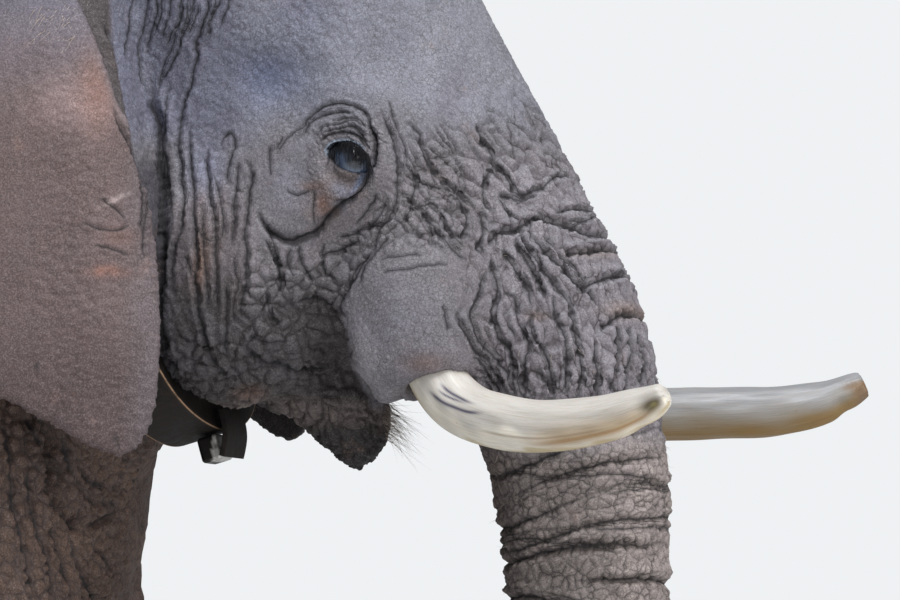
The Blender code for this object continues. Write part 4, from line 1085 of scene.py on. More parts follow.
def head_tint(points):
    x, y, z = points.T
    a, b = eye_view(points)
    ear = ear_share(points)
    mottle = ripple(points, 0.10, 41)
    fleck = ripple(points, 0.035, 42)
    wave = 0.02 * mottle
    colour = np.tile(np.array((0.200, 0.188, 0.205)), (len(points), 1))
    # Painted reflection of the sky: the head above the eye and the forehead before it are tinted lighter and
    # bluish.
    paint(colour, (0.212, 0.222, 0.268), step(-0.02, 0.14, b + wave))
    paint(colour, (0.230, 0.238, 0.275), step(0.02, 0.20, a + wave) * step(0.02, 0.14, b))
    paint(colour, (0.262, 0.246, 0.272), step(0.16, 0.24, a) * step(0.02, -0.05, b))
    # Painted reflection of the sky: the temples are tinted bluish.
    paint(colour, (0.135, 0.165, 0.275), 0.9 * blot(a, b, -140, 126, 75, 52))
    paint(colour, (0.150, 0.158, 0.230), 0.8 * blot(a, b, -80, 222, 55, 50))
    paint(colour, (0.150, 0.158, 0.225), 0.8 * step(-0.13, -0.20, a) * step(0.0, 0.06, b))
    paint(colour, (0.175, 0.172, 0.215), 0.5 * blot(a, b, 160, 118, 26, 60))
    paint(colour, (0.140, 0.121, 0.130), step(-0.14, -0.19, a) * step(-0.03, -0.13, b + wave))
    stripe = bell(a + 0.195, 0.016) + bell(a + 0.236, 0.014)
    stripe = stripe * step(-0.02, -0.07, b) * step(-0.34, -0.24, b)
    paint(colour, (0.240, 0.130, 0.080), 0.45 * stripe * (0.7 + mottle))
    behind = step(0.004, -0.008, a - sheath_edge(b)) * (1 - ear)
    # Painted shade: the lower cheek behind the tusk's sheath and the throat below it are darkened.
    paint(colour, (0.074, 0.069, 0.074), step(-0.16, -0.25, b + wave) * step(0.02, -0.05, a) * behind)
    paint(colour, (0.032, 0.029, 0.029), 0.9 * behind * step(-0.330, -0.372, b) * step(-0.055, -0.09, a))
    paint(colour, (0.190, 0.105, 0.070), 0.8 * blot(a, b, -158, -366, 22, 12))
    # Painted shade in the mouth's corner behind the sheath.
    paint(colour, (0.055, 0.048, 0.050), 0.8 * behind * blot(a, b, -50, -232, 40, 36))
    # Painted light: the sheath's rear edge, turned away from the lamps, is given a pale lit tint.
    paint(colour, (0.500, 0.490, 0.520), 0.9 * (1 - behind) * blot(a, b, 22, -320, 36, 66))
    # Painted reflection of the sky: lighter, bluish tints behind the eye and on the cheek's top.
    paint(colour, (0.235, 0.235, 0.285), 0.8 * blot(a, b, -95, -40, 44, 46))
    paint(colour, (0.250, 0.265, 0.360), 0.85 * blot(a, b, -228, -10, 36, 56))
    paint(colour, (0.205, 0.150, 0.130), 0.5 * blot(a, b, -36, -66, 36, 40) * (1 + fleck))
    paint(colour, (0.270, 0.130, 0.085), 0.75 * blot(a, b, -46, -72, 11, 17))
    paint(colour, (0.230, 0.120, 0.085), 0.55 * blot(a, b, -60, -44, 20, 7))
    paint(colour, (0.215, 0.150, 0.125), 0.7 * blot(a, b, -14, -36, 24, 18))
    paint(colour, (0.190, 0.215, 0.300), 0.6 * blot(a, b, -18, -50, 18, 16))
    # Painted reflection: a light blue streak of sky on the wet skin before and below the eye.
    paint(colour, (0.170, 0.230, 0.370), 0.9 * blot(a - 0.60 * (b + 0.034), b, 14, -34, 6, 22))
    # Painted highlight: a light blue line along the upper lid's margin.
    rim = lid_distance(x - EYE.x, z - EYE.z)[0]
    rim = step(4.0 * MM, 1.5 * MM, rim) * step(0.2, 0.25, np.abs(y)) * step(0.006, 0.014, b - 0.2 * a)
    paint(colour, (0.300, 0.380, 0.480), 0.8 * rim * step(0.06, 0.05, np.hypot(a, b)))
    paint(colour, (0.255, 0.249, 0.290), 0.7 * blot(a, b, 76, -250, 84, 84))
    paint(colour, (0.230, 0.120, 0.090), 0.5 * blot(a, b, 112, -318, 34, 16))
    paint(colour, (0.330, 0.230, 0.190), 0.6 * blot(a, b, 288, -244, 18, 8))
    paint(colour, (0.260, 0.160, 0.110), 0.55 * blot(a, b, 430, -236, 40, 14))
    paint(colour, (0.270, 0.200, 0.160), 0.45 * blot(a, b, 380, -148, 50, 8))
    # Painted shade in the open mouth behind the sheath's rear edge.
    paint(colour, (0.050, 0.044, 0.044), behind * step(-0.20, -0.27, b + 0.3 * wave) * step(-0.10, -0.04, a))
    trunk = is_trunk(points)
    paint(colour, (0.228, 0.195, 0.180), trunk * step(2.02, 1.95, z))
    # Painted highlight: the trunk's front is paler, as a lit edge.
    paint(colour, (0.420, 0.360, 0.335), 0.75 * trunk * step(0.04, 0.12, x - trunk_middle(z)))
    paint(colour, (0.120, 0.085, 0.070), 0.6 * trunk * step(-0.04, -0.12, x - trunk_middle(z)))
    jaw = step(0.86, 0.82, x) * step(2.08, 2.02, z) * step(0.22, 0.16, np.abs(y))
    jaw = jaw * (1 - trunk) * step(0.50, 0.56, x)
    jaw = jaw * np.maximum(step(-0.380, -0.392, b), behind)
    paint(colour, (0.270, 0.215, 0.195), jaw)
    # Painted shade: the jaw's underside is near black.
    paint(colour, (0.012, 0.011, 0.011), jaw * step(2.06, 2.00, z))
    paint(colour, (0.190, 0.105, 0.085), 0.6 * jaw * blot(a, b, -88, -372, 30, 12))
    paint(colour, (0.074, 0.043, 0.029), step(0.47, 0.42, x) * step(2.35, 2.2, z) * (1 - ear))
    # Painted shade in the gap between the ear and the cheek.
    gap = step(-0.268, -0.290, a) * step(0.03, -0.03, b) * (1 - ear) * step(0.25, 0.35, x)
    paint(colour, (0.058, 0.057, 0.070), gap * step(-0.42, -0.38, b))
    paint(colour, (0.148, 0.100, 0.096), ear)
    paint(colour, (0.112, 0.115, 0.158), ear * step(2.45, 2.75, z))
    paint(colour, (0.098, 0.061, 0.060), ear * step(2.25, 2.05, z))
    paint(colour, (0.330, 0.225, 0.215), 0.85 * ear * blot(a, b, -422, 82, 62, 38))
    paint(colour, (0.260, 0.125, 0.085), 0.65 * ear * blot(a, b, -395, 112, 26, 60))
    paint(colour, (0.480, 0.390, 0.370), 0.9 * ear * blot(a - 1.9 * (b + 0.063), b, -364, -63, 7, 12))
    paint(colour, (0.290, 0.120, 0.075), 0.7 * ear * blot(a, b, -376, -176, 26, 9) * (1 + 0.5 * fleck))
    paint(colour, (0.230, 0.120, 0.085), 0.5 * ear * blot(a, b, -355, -122, 30, 14))
    ear_front = ear * step(-0.370, -0.310, a + 0.3 * wave) * step(0.10, 0.02, b)
    paint(colour, (0.130, 0.112, 0.125), 0.6 * ear_front)
    paint(colour, (0.190, 0.165, 0.175), 0.9 * ear * blot(a + 0.42 * (b - 0.10), b, -360, 100, 13, 110))
    holes = blot(a, b, -366, -435, 5, 5) + blot(a, b, -362, -445, 3, 3) + blot(a, b, -488, -322, 3.5, 6)
    paint(colour, (0.020, 0.016, 0.015), ear * holes)
    # Painted shade: the ears' inner faces, turned to the head, and the far ear's lower lobe lie in shadow and
    # are darkened.
    ear_inner_shade = ear * step(0.004, -0.006, np.abs(y) - ear_side(np.sign(y), x, z))
    paint(colour, (0.042, 0.034, 0.033), 0.9 * ear_inner_shade)
    paint(colour, (0.012, 0.011, 0.011), ear * step(0.0, 0.02, y) * step(2.12, 2.06, z) * step(0.30, 0.36, x))
    colour *= (1 + 0.06 * mottle + 0.05 * fleck)[:, None]
    return colour


def body_tint(points):
    x, _, z = points.T
    a, b = eye_view(points)
    mottle = ripple(points, 0.35, 43)
    fleck = ripple(points, 0.08, 44)
    colour = np.tile(np.array((0.180, 0.155, 0.145)), (len(points), 1))
    paint(colour, (0.082, 0.040, 0.022), step(-0.35, 0.05, x) * step(2.7, 2.3, z) * step(1.0, 1.4, z))
    # Reddish soil and painted light: orange patches on the neck where light falls.
    rust = 0.7 * blot(a, b, -344, -495, 46, 40) + 0.6 * blot(a, b, -420, -600, 60, 46)
    paint(colour, (0.165, 0.092, 0.058), rust)
    paint(colour, (0.130, 0.106, 0.096), step(1.2, 0.5, z))
    paint(colour, (0.110, 0.085, 0.072), 0.7 * step(0.30, 0.08, z + 0.05 * mottle))
    colour *= (1 + 0.09 * mottle + 0.05 * fleck)[:, None]
    return colour


def hide_material(name, kinds):
    """Elephant hide: a painted ground, with painted shade in the folds, along the lines between the skin's
    cells and in fine cracks.
    """
    made, tree, shader = new_material(name, Roughness=0.78, Specular_IOR_Level=0.40)
    rest = attribute(tree, "rest", "Vector")
    tint = attribute(tree, "tint")
    stray = warp(tree, rest)
    weight = ramp(tree, noise(tree, rest, 34.0, 2.0, 0.6), 0.38, 0.62, 0.50, 1.0)
    lines = None
    for number, (kind, _, _, groove, _, _, _) in enumerate(RELIEFS):
        if kind not in kinds or kind not in LINED:
            continue
        share = attribute(tree, kind, "Fac")
        gap = cell_edges(tree, cell_place(tree, rest, stray, number), 1.0)
        # Painted shade along the borders between cells: a crisp dark line and a softer shade beside it.
        crisp, soft = (0.40, 0.0) if kind == "pebble" else (1.0, 0.5)
        line = maths(tree, "MAXIMUM", ramp(tree, gap, 0.0, 0.5 * groove, crisp, 0.0),
                     ramp(tree, gap, 0.0, 1.5 * groove, soft, 0.0))
        line = maths(tree, "MULTIPLY", line, share, clamp=True)
        lines = line if lines is None else maths(tree, "MAXIMUM", lines, line)
    lines = maths(tree, "MULTIPLY", lines, weight)
    off = maths(tree, "ABSOLUTE", attribute(tree, "fold off", "Fac"))
    beyond = maths(tree, "SUBTRACT", off, attribute(tree, "fold wide", "Fac"))
    # Painted shade in the folds: a crisp dark line and a softer shade around it.
    crisp, soft = ramp(tree, beyond, -0.5, 0.7, 0.90, 0.0), ramp(tree, beyond, 0.0, 4.5, 0.50, 0.0)
    folds = maths(tree, "MAXIMUM", crisp, soft)
    folds = maths(tree, "MULTIPLY", folds, ramp(tree, attribute(tree, "fold gap", "Fac"), 5.0, 8.0, 1.0, 0.0))
    place = vector_maths(tree, "ADD", rest, vector_maths(tree, "MULTIPLY", stray, (0.016, 0.016, 0.016)))
    crack = ramp(tree, cell_edges(tree, place, 150.0), 0.0, 0.15, 1.0, 0.0)
    mottle = noise(tree, rest, 22.0, 4.0, 0.68)
    speck = noise(tree, rest, 380.0, 3.0, 0.75)
    crack = maths(tree, "MULTIPLY", crack, ramp(tree, mottle, 0.42, 0.58, 0.2, 1.0))
    dusk = blend(tree, 0.55, tint, (0.76, 0.74, 0.80, 1), "MULTIPLY")
    colour = blend(tree, ramp(tree, mottle, 0.36, 0.66), dusk, tint)
    pink = blend(tree, 0.5, colour, (0.32, 0.195, 0.155, 1))
    colour = blend(tree, ramp(tree, noise(tree, rest, 15.0, 5.0, 0.78), 0.58, 0.74, 0.0, 0.65), colour, pink)
    colour = blend(tree, ramp(tree, speck, 0.42, 0.72, 0.0, 0.26), colour, (0.42, 0.39, 0.40, 1), "SCREEN")
    colour = blend(tree, ramp(tree, speck, 0.54, 0.34, 0.0, 0.40), colour, (0.06, 0.05, 0.05, 1))
    # Painted shade in the fine cracks, along the cell borders and in the folds.
    colour = blend(tree, maths(tree, "MULTIPLY", crack, 0.38), colour, (0.040, 0.034, 0.034, 1))
    colour = blend(tree, maths(tree, "MULTIPLY", lines, 0.85), colour, (0.026, 0.021, 0.022, 1))
    colour = blend(tree, maths(tree, "MULTIPLY", folds, 0.92), colour, (0.010, 0.009, 0.011, 1))
    wire(
        tree,
        shader,
        Base_Color=colour,
        Normal=bump(tree, speck, 0.0012, 0.85),
        Roughness=ramp(tree, mottle, 0.3, 0.7, 0.58, 0.80),
    )
    return made


# ---------------------------------------------------------------- tusks
# x, y outward, z, half thickness; the right tusk is worn shorter than the left
TUSK_LINE = {
    -1: [
        (0.872, 0.194, 2.165, 0.038),
        (0.916, 0.220, 2.080, 0.0435),
        (0.977, 0.250, 2.030, 0.0430),
        (1.087, 0.295, 2.006, 0.0400),
        (1.190, 0.328, 2.012, 0.0360),
        (1.258, 0.347, 2.028, 0.0305),
        (1.293, 0.356, 2.044, 0.0210),
    ],
    1: [
        (0.868, 0.192, 2.165, 0.040),
        (0.902, 0.216, 2.095, 0.045),
        (0.975, 0.250, 2.054, 0.046),
        (1.090, 0.290, 2.052, 0.045),
        (1.218, 0.325, 2.054, 0.043),
        (1.330, 0.350, 2.057, 0.0405),
        (1.410, 0.368, 2.071, 0.035),
        (1.468, 0.380, 2.098, 0.024),
    ],
}
TUSK_SIDES, TUSK_SPANS = 144, 44
# the dark streaks: shares of the tusk's length, turns round it from the outer side and half width, in radians
TUSK_STREAKS = (
    (0.24, 0.45, -0.25, 0.20, 0.060),
    (0.25, 0.41, 0.22, 0.42, 0.055),
    (0.26, 0.38, 0.04, 0.30, 0.035),
)


def ivory_material():
    made, tree, shader = new_material("ivory", Roughness=0.38, Specular_IOR_Level=0.5, Coat_Weight=0.15,
                                      Coat_Roughness=0.3, Subsurface_Weight=0.08, Subsurface_Scale=0.006)
    lie = attribute(tree, "lie", "Vector")
    tint = attribute(tree, "tint")
    grain = noise(tree, vector_maths(tree, "MULTIPLY", lie, (520.0, 520.0, 22.0)), 1.0, 4.0, 0.7)
    streak = noise(tree, vector_maths(tree, "MULTIPLY", lie, (110.0, 110.0, 7.0)), 1.0, 4.0, 0.65)
    speck = noise(tree, lie, 120.0, 5.0, 0.75)
    colour = blend(tree, ramp(tree, grain, 0.42, 0.72, 0.0, 0.38), tint, (0.50, 0.43, 0.32, 1), "MULTIPLY")
    colour = blend(tree, ramp(tree, streak, 0.52, 0.75, 0.0, 0.22), colour, (0.40, 0.32, 0.22, 1))
    colour = blend(tree, ramp(tree, speck, 0.64, 0.74, 0.0, 0.55), colour, (0.20, 0.13, 0.07, 1))
    wire(tree, shader, Base_Color=colour)
    height = maths(tree, "ADD", maths(tree, "MULTIPLY", grain, 0.6), maths(tree, "MULTIPLY", streak, 0.8))
    wire(
        tree,
        shader,
        Normal=bump(tree, height, 0.0012, 0.6),
        Roughness=ramp(tree, streak, 0.3, 0.7, 0.30, 0.52),
    )
    return made


def tusk(side, material):
    rows = [(x, y * side, z, r, r * 0.96) for x, y, z, r in TUSK_LINE[side]]
    # the worn tip is closed in a blunt dome
    tip, before = np.array(rows[-1]), np.array(rows[-2])
    way = (tip - before)[:3] / np.linalg.norm((tip - before)[:3])
    rows.append((*(tip[:3] + way * 0.010), tip[3] * 0.62, tip[4] * 0.62))
    points, faces = tube(rows, sides=TUSK_SIDES, spans=TUSK_SPANS)
    points = np.array([tuple(p) for p in points])
    rings = len(points) // TUSK_SIDES
    ring = points.reshape(rings, TUSK_SIDES, 3)
    middle = ring.mean(axis=1)
    run = np.concatenate([[0.0], np.cumsum(np.linalg.norm(np.diff(middle, axis=0), axis=1))])
    angle = 2 * math.pi * np.arange(TUSK_SIDES) / TUSK_SIDES
    t = np.repeat(run / run[-1], TUSK_SIDES)
    turn = np.tile(angle, rings)
    below, outer = np.cos(turn), np.sin(turn)  # towards the underside and towards the animal's left
    out = points - np.repeat(middle, TUSK_SIDES, axis=0)
    radius = np.linalg.norm(out, axis=1)
    lie = np.stack([np.cos(turn) * 0.045, np.sin(turn) * 0.045, t * run[-1]], axis=1)
    wave = ripple(lie, 0.05, 71 + side)
    swell_out = 0.0010 * ripple(lie * np.array((1, 1, 0.25)), 0.03, 72 + side)
    tint = np.tile(np.array((0.60, 0.575, 0.535)), (len(points), 1))
    # Painted light: the underside is pale, as lit by light thrown up from the ground.
    paint(tint, (0.95, 0.90, 0.79), step(0.1, 0.8, below + 0.25 * wave))
    paint(tint, (0.60, 0.49, 0.27), 0.8 * step(0.84, 0.99, below + 0.1 * wave))
    if side < 0:
        front = step(0.54, 0.70, t) * step(1.0, 0.90, t)
        rust = bell(below - 0.66, 0.10) * step(0.3, 0.0, outer)
        paint(tint, (0.30, 0.120, 0.030), 0.9 * front * rust)
        paint(tint, (0.46, 0.31, 0.14), 0.7 * front * bell(below - 0.50, 0.45))
        near = np.arctan2(-below, -outer)  # 0 on the outer side, positive above it
        for start, end, first, last, thick in TUSK_STREAKS:
            line = first + (last - first) * (t - start) / (end - start) + 0.02 * wave
            streak = np.exp(-(((near - line) / thick) ** 2)) * step(start - 0.02, start + 0.03, t)
            paint(tint, (0.040, 0.034, 0.085), streak * step(end, end - 0.06, t))
        crack = bell(below - 0.42 - 0.1 * t, 0.035) * step(0.40, 0.50, t) * step(0.86, 0.76, t)
        paint(tint, (0.30, 0.20, 0.12), 0.7 * crack * step(0.2, -0.1, outer))
        hollow = np.exp(-(((t - 0.955) / 0.030) ** 2) - ((near + 0.35) / 0.55) ** 2)
        swell_out -= 0.013 * hollow
        paint(tint, (0.10, 0.080, 0.045), 1.3 * hollow)
        core = np.exp(-(((t - 0.962) / 0.012) ** 2) - ((near + 0.45) / 0.25) ** 2)
        paint(tint, (0.40, 0.34, 0.14), 0.8 * core)
        swell_out -= 0.004 * np.exp(-(((t - 0.90) / 0.035) ** 2) - ((below - 0.9) / 0.3) ** 2)
    else:
        paint(tint, (0.240, 0.248, 0.268), 0.9 * step(0.25, 0.45, t))
        paint(tint, (0.26, 0.225, 0.17), 0.8 * step(-0.4, 0.4, below + 0.1 * wave) * step(0.25, 0.45, t))
        paint(tint, (0.24, 0.140, 0.030), step(0.10, 0.95, below + 0.1 * wave) * step(0.30, 0.50, t))
        worn = step(0.945, 0.985, t + 0.01 * wave) * step(-0.6, 0.2, below + 0.2 * wave)
        paint(tint, (0.20, 0.12, 0.06), worn)
        swell_out -= 0.004 * bell(t - 0.93, 0.02) * step(0.0, 0.6, below)
    points = points + out / np.maximum(radius, 1e-6)[:, None] * swell_out[:, None]
    mesh = bpy.data.meshes.new("tusk")
    mesh.from_pydata((points + np.array(ORIGIN)).tolist(), [], faces)
    store(mesh, "tint", tint, "FLOAT_COLOR")
    store(mesh, "lie", lie, "FLOAT_VECTOR")
    shade_smooth(mesh)
    label = SIDES[side]
    obj = add_object(f"tusk_{label}_ivory", face_outward(mesh), material)
    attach(obj, "root")
    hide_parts(f"tusk_{label}")


def face_outward(mesh):
    with edited(mesh) as bm:
        bmesh.ops.recalc_face_normals(bm, faces=bm.faces)
    return mesh


# ---------------------------------------------------------------- eyes
def eye_material():
    made, tree, shader = new_material("eye", Roughness=0.12, Specular_IOR_Level=0.6, Coat_Weight=1.0,
                                      Coat_Roughness=0.02)
    off = attribute(tree, "off axis", "Fac")
    place = object_place(tree)
    fibre = noise(tree, place, 380.0, 3.0, 0.7)
    # Painted reflection: the iris and the white are tinted blue as by the sky.
    iris_and_reflection = blend(tree, fibre, (0.010, 0.014, 0.026, 1), (0.028, 0.042, 0.074, 1))
    white_and_reflection = blend(tree, noise(tree, place, 120.0, 2.0), (0.050, 0.075, 0.130, 1), (0.090, 0.135, 0.225, 1))
    colour = blend(tree, ramp(tree, off, 0.0105, 0.0175), iris_and_reflection, white_and_reflection)
    # Painted shade: the top of the ball is darkened as under the lid and lashes.
    colour = blend(tree, attribute(tree, "shade", "Fac"), colour, (0.004, 0.005, 0.009, 1))
    colour = blend(tree, ramp(tree, off, 0.0042, 0.0056), (0.003, 0.003, 0.004, 1), colour)
    wire(tree, shader, Base_Color=colour)
    return made


GAZE = Vector((0.26, -0.95, -0.10)).normalized()


def eyeball(side, material):
    bm = bmesh.new()
    bmesh.ops.create_uvsphere(bm, u_segments=64, v_segments=40, radius=BALL)
    gaze = Vector((GAZE.x, GAZE.y * -side, GAZE.z))
    off, shade = [], []
    for vertex in bm.verts:
        ahead = vertex.co.dot(gaze)
        # painted shade of the lid and lashes on the ball's top
        shade.append(step(-0.002, 0.010, vertex.co.z + 0.25 * vertex.co.x))
        reach = (vertex.co - gaze * ahead).length if ahead > 0 else BALL
        off.append(reach)
        if reach < 0.014:
            vertex.co += gaze * 0.0022 * (1 - (reach / 0.014) ** 2)
        vertex.co += Vector((EYE.x, EYE.y * side, EYE.z)) + ORIGIN
    mesh = bpy.data.meshes.new("eyeball")
    bm.to_mesh(mesh)
    bm.free()
    store(mesh, "off axis", np.array(off))
    store(mesh, "shade", 0.9 * np.array(shade))
    shade_smooth(mesh)
    label = SIDES[side]
    obj = add_object(f"eyeball_{label}", mesh, material)
    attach(obj, "root")
    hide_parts(f"eye_{label}")


# ---------------------------------------------------------------- hairs
def bristle_tree():
    """Geometry Nodes: a tapered, bent hair on every point, aimed and sized by its attributes."""
    tree, given = new_group("bristles", (("Thickness", "Float"), ("Droop", "Vector"), ("Finish", "Material")))
    cone = node(tree, "GeometryNodeMeshCone", {
        "Vertices": 4, "Side Segments": 6, "Fill Segments": 1,
        "Radius Top": 0.12, "Radius Bottom": 1.0, "Depth": 1.0,
    })
    share = node(tree, "ShaderNodeSeparateXYZ", {0: node(tree, "GeometryNodeInputPosition")}, 2)
    inputs = {"Geometry": cone, "Name": "share", "Value": share}
    marked = node(tree, "GeometryNodeStoreNamedAttribute", inputs, data_type="FLOAT", domain="POINT")

    def held(name, kind):
        return node(tree, "GeometryNodeInputNamedAttribute", {"Name": name}, data_type=kind)

    aim = node(tree, "FunctionNodeAlignRotationToVector", {"Vector": held("aim", "FLOAT_VECTOR")}, axis="Z")
    long = held("long", "FLOAT")
    size = node(tree, "ShaderNodeCombineXYZ", {0: given["Thickness"], 1: given["Thickness"], 2: long})
    placed = node(tree, "GeometryNodeInstanceOnPoints", {
        "Points": given["Geometry"], "Instance": marked, "Rotation": aim, "Scale": size,
    })
    real = node(tree, "GeometryNodeRealizeInstances", {"Geometry": placed})
    bow = maths(tree, "POWER", held("share", "FLOAT"), 2.0)
    bow = maths(tree, "MULTIPLY", bow, long)
    droop = vector_maths(tree, "ADD", given["Droop"], held("stray", "FLOAT_VECTOR"))
    offset = node(tree, "ShaderNodeVectorMath", {0: droop, "Scale": bow}, operation="SCALE")
    bent = node(tree, "GeometryNodeSetPosition", {"Geometry": real, "Offset": offset})
    patch = node(tree, "ShaderNodeCombineXYZ", {0: maths(tree, "MULTIPLY", held("share", "FLOAT"), 0.003)})
    spot = vector_maths(tree, "ADD", held("spot", "FLOAT_VECTOR"), patch)
    inputs = {"Geometry": bent, "Name": "OFBake", "Value": spot}
    mapped = node(tree, "GeometryNodeStoreNamedAttribute", inputs, data_type="FLOAT2", domain="CORNER")
    done = node(tree, "GeometryNodeSetMaterial", {"Geometry": mapped, "Material": given["Finish"]})
    return give_back(tree, done)


def hair_material(name, dark, light, shine=0.4):
    made, tree, shader = new_material(name, Roughness=0.6, Specular_IOR_Level=shine)
    place = object_place(tree)
    wire(tree, shader, Base_Color=blend(tree, noise(tree, place, 90.0, 2.0), dark, light))
    return made


def bristles(name, tree, roots, aims, lengths, thickness, droop, finish, loose=0.15, seed=5):
    """A piece of hairs that stand on the skin at roots."""
    draw = np.random.default_rng(seed)
    roots, aims, lengths = np.array(roots, float), np.array(aims, float), np.array(lengths, float)
    aims = aims / np.linalg.norm(aims, axis=1)[:, None] + draw.normal(scale=loose, size=aims.shape)
    mesh = bpy.data.meshes.new(name)
    mesh.from_pydata((roots + np.array(ORIGIN)).tolist(), [], [])
    store(mesh, "long", lengths)
    around = np.arctan2(roots[:, 1], roots[:, 0] - 0.4) / (2 * math.pi) + 0.5
    spots = np.stack([around, roots[:, 2] / 3.2, 0 * around], axis=1)
    for key, values in (("aim", aims), ("stray", draw.normal(scale=loose, size=aims.shape)), ("spot", spots)):
        store(mesh, key, values, "FLOAT_VECTOR")
    obj = add_object(name, mesh)
    add_nodes(obj, tree, {"Thickness": thickness, "Droop": droop, "Finish": finish})
    applied(obj)
    shade_smooth(obj.data)
    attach(obj, "root")
    return obj


def lid_edge(turn):
    """A place on the edge of the eye's opening, forward of and above the eyeball's middle."""
    c, s = math.cos(turn), math.sin(turn)
    p = LID_HALF[0] * math.copysign(abs(c) ** (2 / LID_POWER), c)
    q = (LID_HALF[1] if s > 0 else LID_HALF[2]) * math.copysign(abs(s) ** (2 / LID_POWER), s)
    lean = (math.cos(LID_LEAN), math.sin(LID_LEAN))
    return LID_MIDDLE[0] + p * lean[0] - q * lean[1], LID_MIDDLE[1] + p * lean[1] + q * lean[0]


def make_hairs(skin):
    tree = bristle_tree()
    draw = np.random.default_rng(17)
    surface = BVHTree.FromObject(skin, bpy.context.evaluated_depsgraph_get())

    def on_skin(start, way):
        hit, normal, _, _ = surface.ray_cast(Vector(start) + ORIGIN, Vector(way))
        return (hit - ORIGIN, normal) if hit else (None, None)

    lash = hair_material("lashes", (0.003, 0.003, 0.004, 1), (0.010, 0.010, 0.013, 1), 0.15)
    for side in (1, -1):
        roots, aims, lengths = [], [], []
        for i in range(150):
            turn = math.radians(165 - 140 * (i / 149) ** 0.8) + draw.normal(scale=0.02)
            a, b = lid_edge(turn)
            r = math.hypot(a, b)
            out = EYE.y + math.sqrt(max((BALL + 0.0030) ** 2 - r * r, 0.00004))
            roots.append((EYE.x + a, out * side, EYE.z + b + draw.uniform(-0.001, 0.001)))
            aims.append((0.10 + a * 5, side * 0.70, -0.55 + b * 4))
            lengths.append(draw.uniform(0.022, 0.040))
        bristles(f"lashes_{SIDES[side]}", tree, roots, aims, lengths, 0.00060, (0.10, 0.0, -0.70), lash, 0.10)

    pale = hair_material("lip_hair", (0.26, 0.21, 0.17, 1), (0.55, 0.47, 0.40, 1))
    roots, aims, lengths = [], [], []
    while len(roots) < 170:
        x, z = draw.uniform(0.66, 0.84), draw.uniform(1.95, 2.12)
        side = draw.choice((-1, 1))
        hit, normal = on_skin((x, 0.5 * side, z), (0, -side, 0))
        if hit is None or hit.x < 0.77 or abs(hit.y) > 0.13 or normal.x < 0.55:
            continue
        roots.append(hit)
        aims.append((0.55 + normal.x, normal.y * 0.5, -0.75 + normal.z * 0.3))
        lengths.append(draw.uniform(0.015, 0.055))
    bristles("lip_hairs", tree, roots, aims, lengths, 0.00032, (0.10, 0.0, -0.35), pale, 0.22)

    roots, aims, lengths = [], [], []
    while len(roots) < 220:
        z = draw.uniform(0.35, 2.35)
        turn = draw.uniform(-math.pi, math.pi)
        middle = float(trunk_middle(z)) if z > 0.5 else 0.97
        way = (math.cos(turn), math.sin(turn), 0.0)
        hit, normal = on_skin((middle + way[0] * 0.5, way[1] * 0.5, z), (-way[0], -way[1], 0.0))
        if hit is None or hit.x < 0.88:
            continue
        roots.append(hit)
        aims.append((normal.x, normal.y, normal.z - 0.6))
        lengths.append(draw.uniform(0.008, 0.020))
    bristles("trunk_hairs", tree, roots, aims, lengths, 0.00035, (0.0, 0.0, -0.4), pale, 0.25)

    for side in (1, -1):
        roots, aims, lengths = [], [], []
        while len(roots) < 90:
            x, z = draw.normal(0.395, 0.022), draw.normal(2.625, 0.020)
            hit, normal = on_skin((x, 0.8 * side, z), (0, -side, 0))
            if hit is None:
                continue
            roots.append(hit)
            aims.append((-0.45, 0.35 * side, -0.75))
            lengths.append(draw.uniform(0.022, 0.045))
        name = f"ear_hairs_{SIDES[side]}"
        bristles(name, tree, roots, aims, lengths, 0.00045, (-0.15, 0.0, -0.3), pale, 0.16)

    black = hair_material("tail_bristle", (0.010, 0.009, 0.009, 1), (0.045, 0.036, 0.030, 1))
    roots, aims, lengths = [], [], []
    for i in range(420):
        z = draw.uniform(1.215, 1.33)
        turn = draw.uniform(0, 2 * math.pi)
        fore, across = 0.026 * math.cos(turn), 0.022 * math.sin(turn)
        roots.append((-2.293 + fore, across, z))
        aims.append((fore * 5, across * 4, -1.0))
        lengths.append(min(draw.uniform(0.20, 0.42), z - 0.845))
    tuft = bristles("tail_tuft", tree, roots, aims, lengths, 0.0011, (0.02, 0.0, -0.02), black, 0.028)
    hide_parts("tail_hair")


# ---------------------------------------------------------------- toenails
FORELEG_X = {1: 0.02, -1: 0.14}
HINDLEG_X = {1: -1.60, -1: -1.76}
FORELEG_Y, HINDLEG_Y = 0.335, 0.315
FORE_NAILS = (-62, -22, 18, 60)  # degrees round the foot from straight ahead, outward positive
HIND_NAILS = (-38, 2, 44)
NAIL_HALF = (0.020, 0.046, 0.044)
NAIL_LEAN = 12


def nail_material():
    made, tree, shader = new_material("nail", Roughness=0.5, Specular_IOR_Level=0.45)
    place = object_place(tree)
    band = noise(tree, vector_maths(tree, "MULTIPLY", place, (60.0, 60.0, 260.0)), 1.0, 3.0, 0.6)
    dirt = noise(tree, place, 45.0, 4.0, 0.7)
    colour = blend(tree, band, (0.30, 0.245, 0.185, 1), (0.50, 0.43, 0.34, 1))
    colour = blend(tree, ramp(tree, dirt, 0.45, 0.70, 0.0, 0.7), colour, (0.13, 0.095, 0.070, 1))
    wire(tree, shader, Base_Color=colour, Normal=bump(tree, maths(tree, "ADD", band, dirt), 0.002, 0.6))
    return made


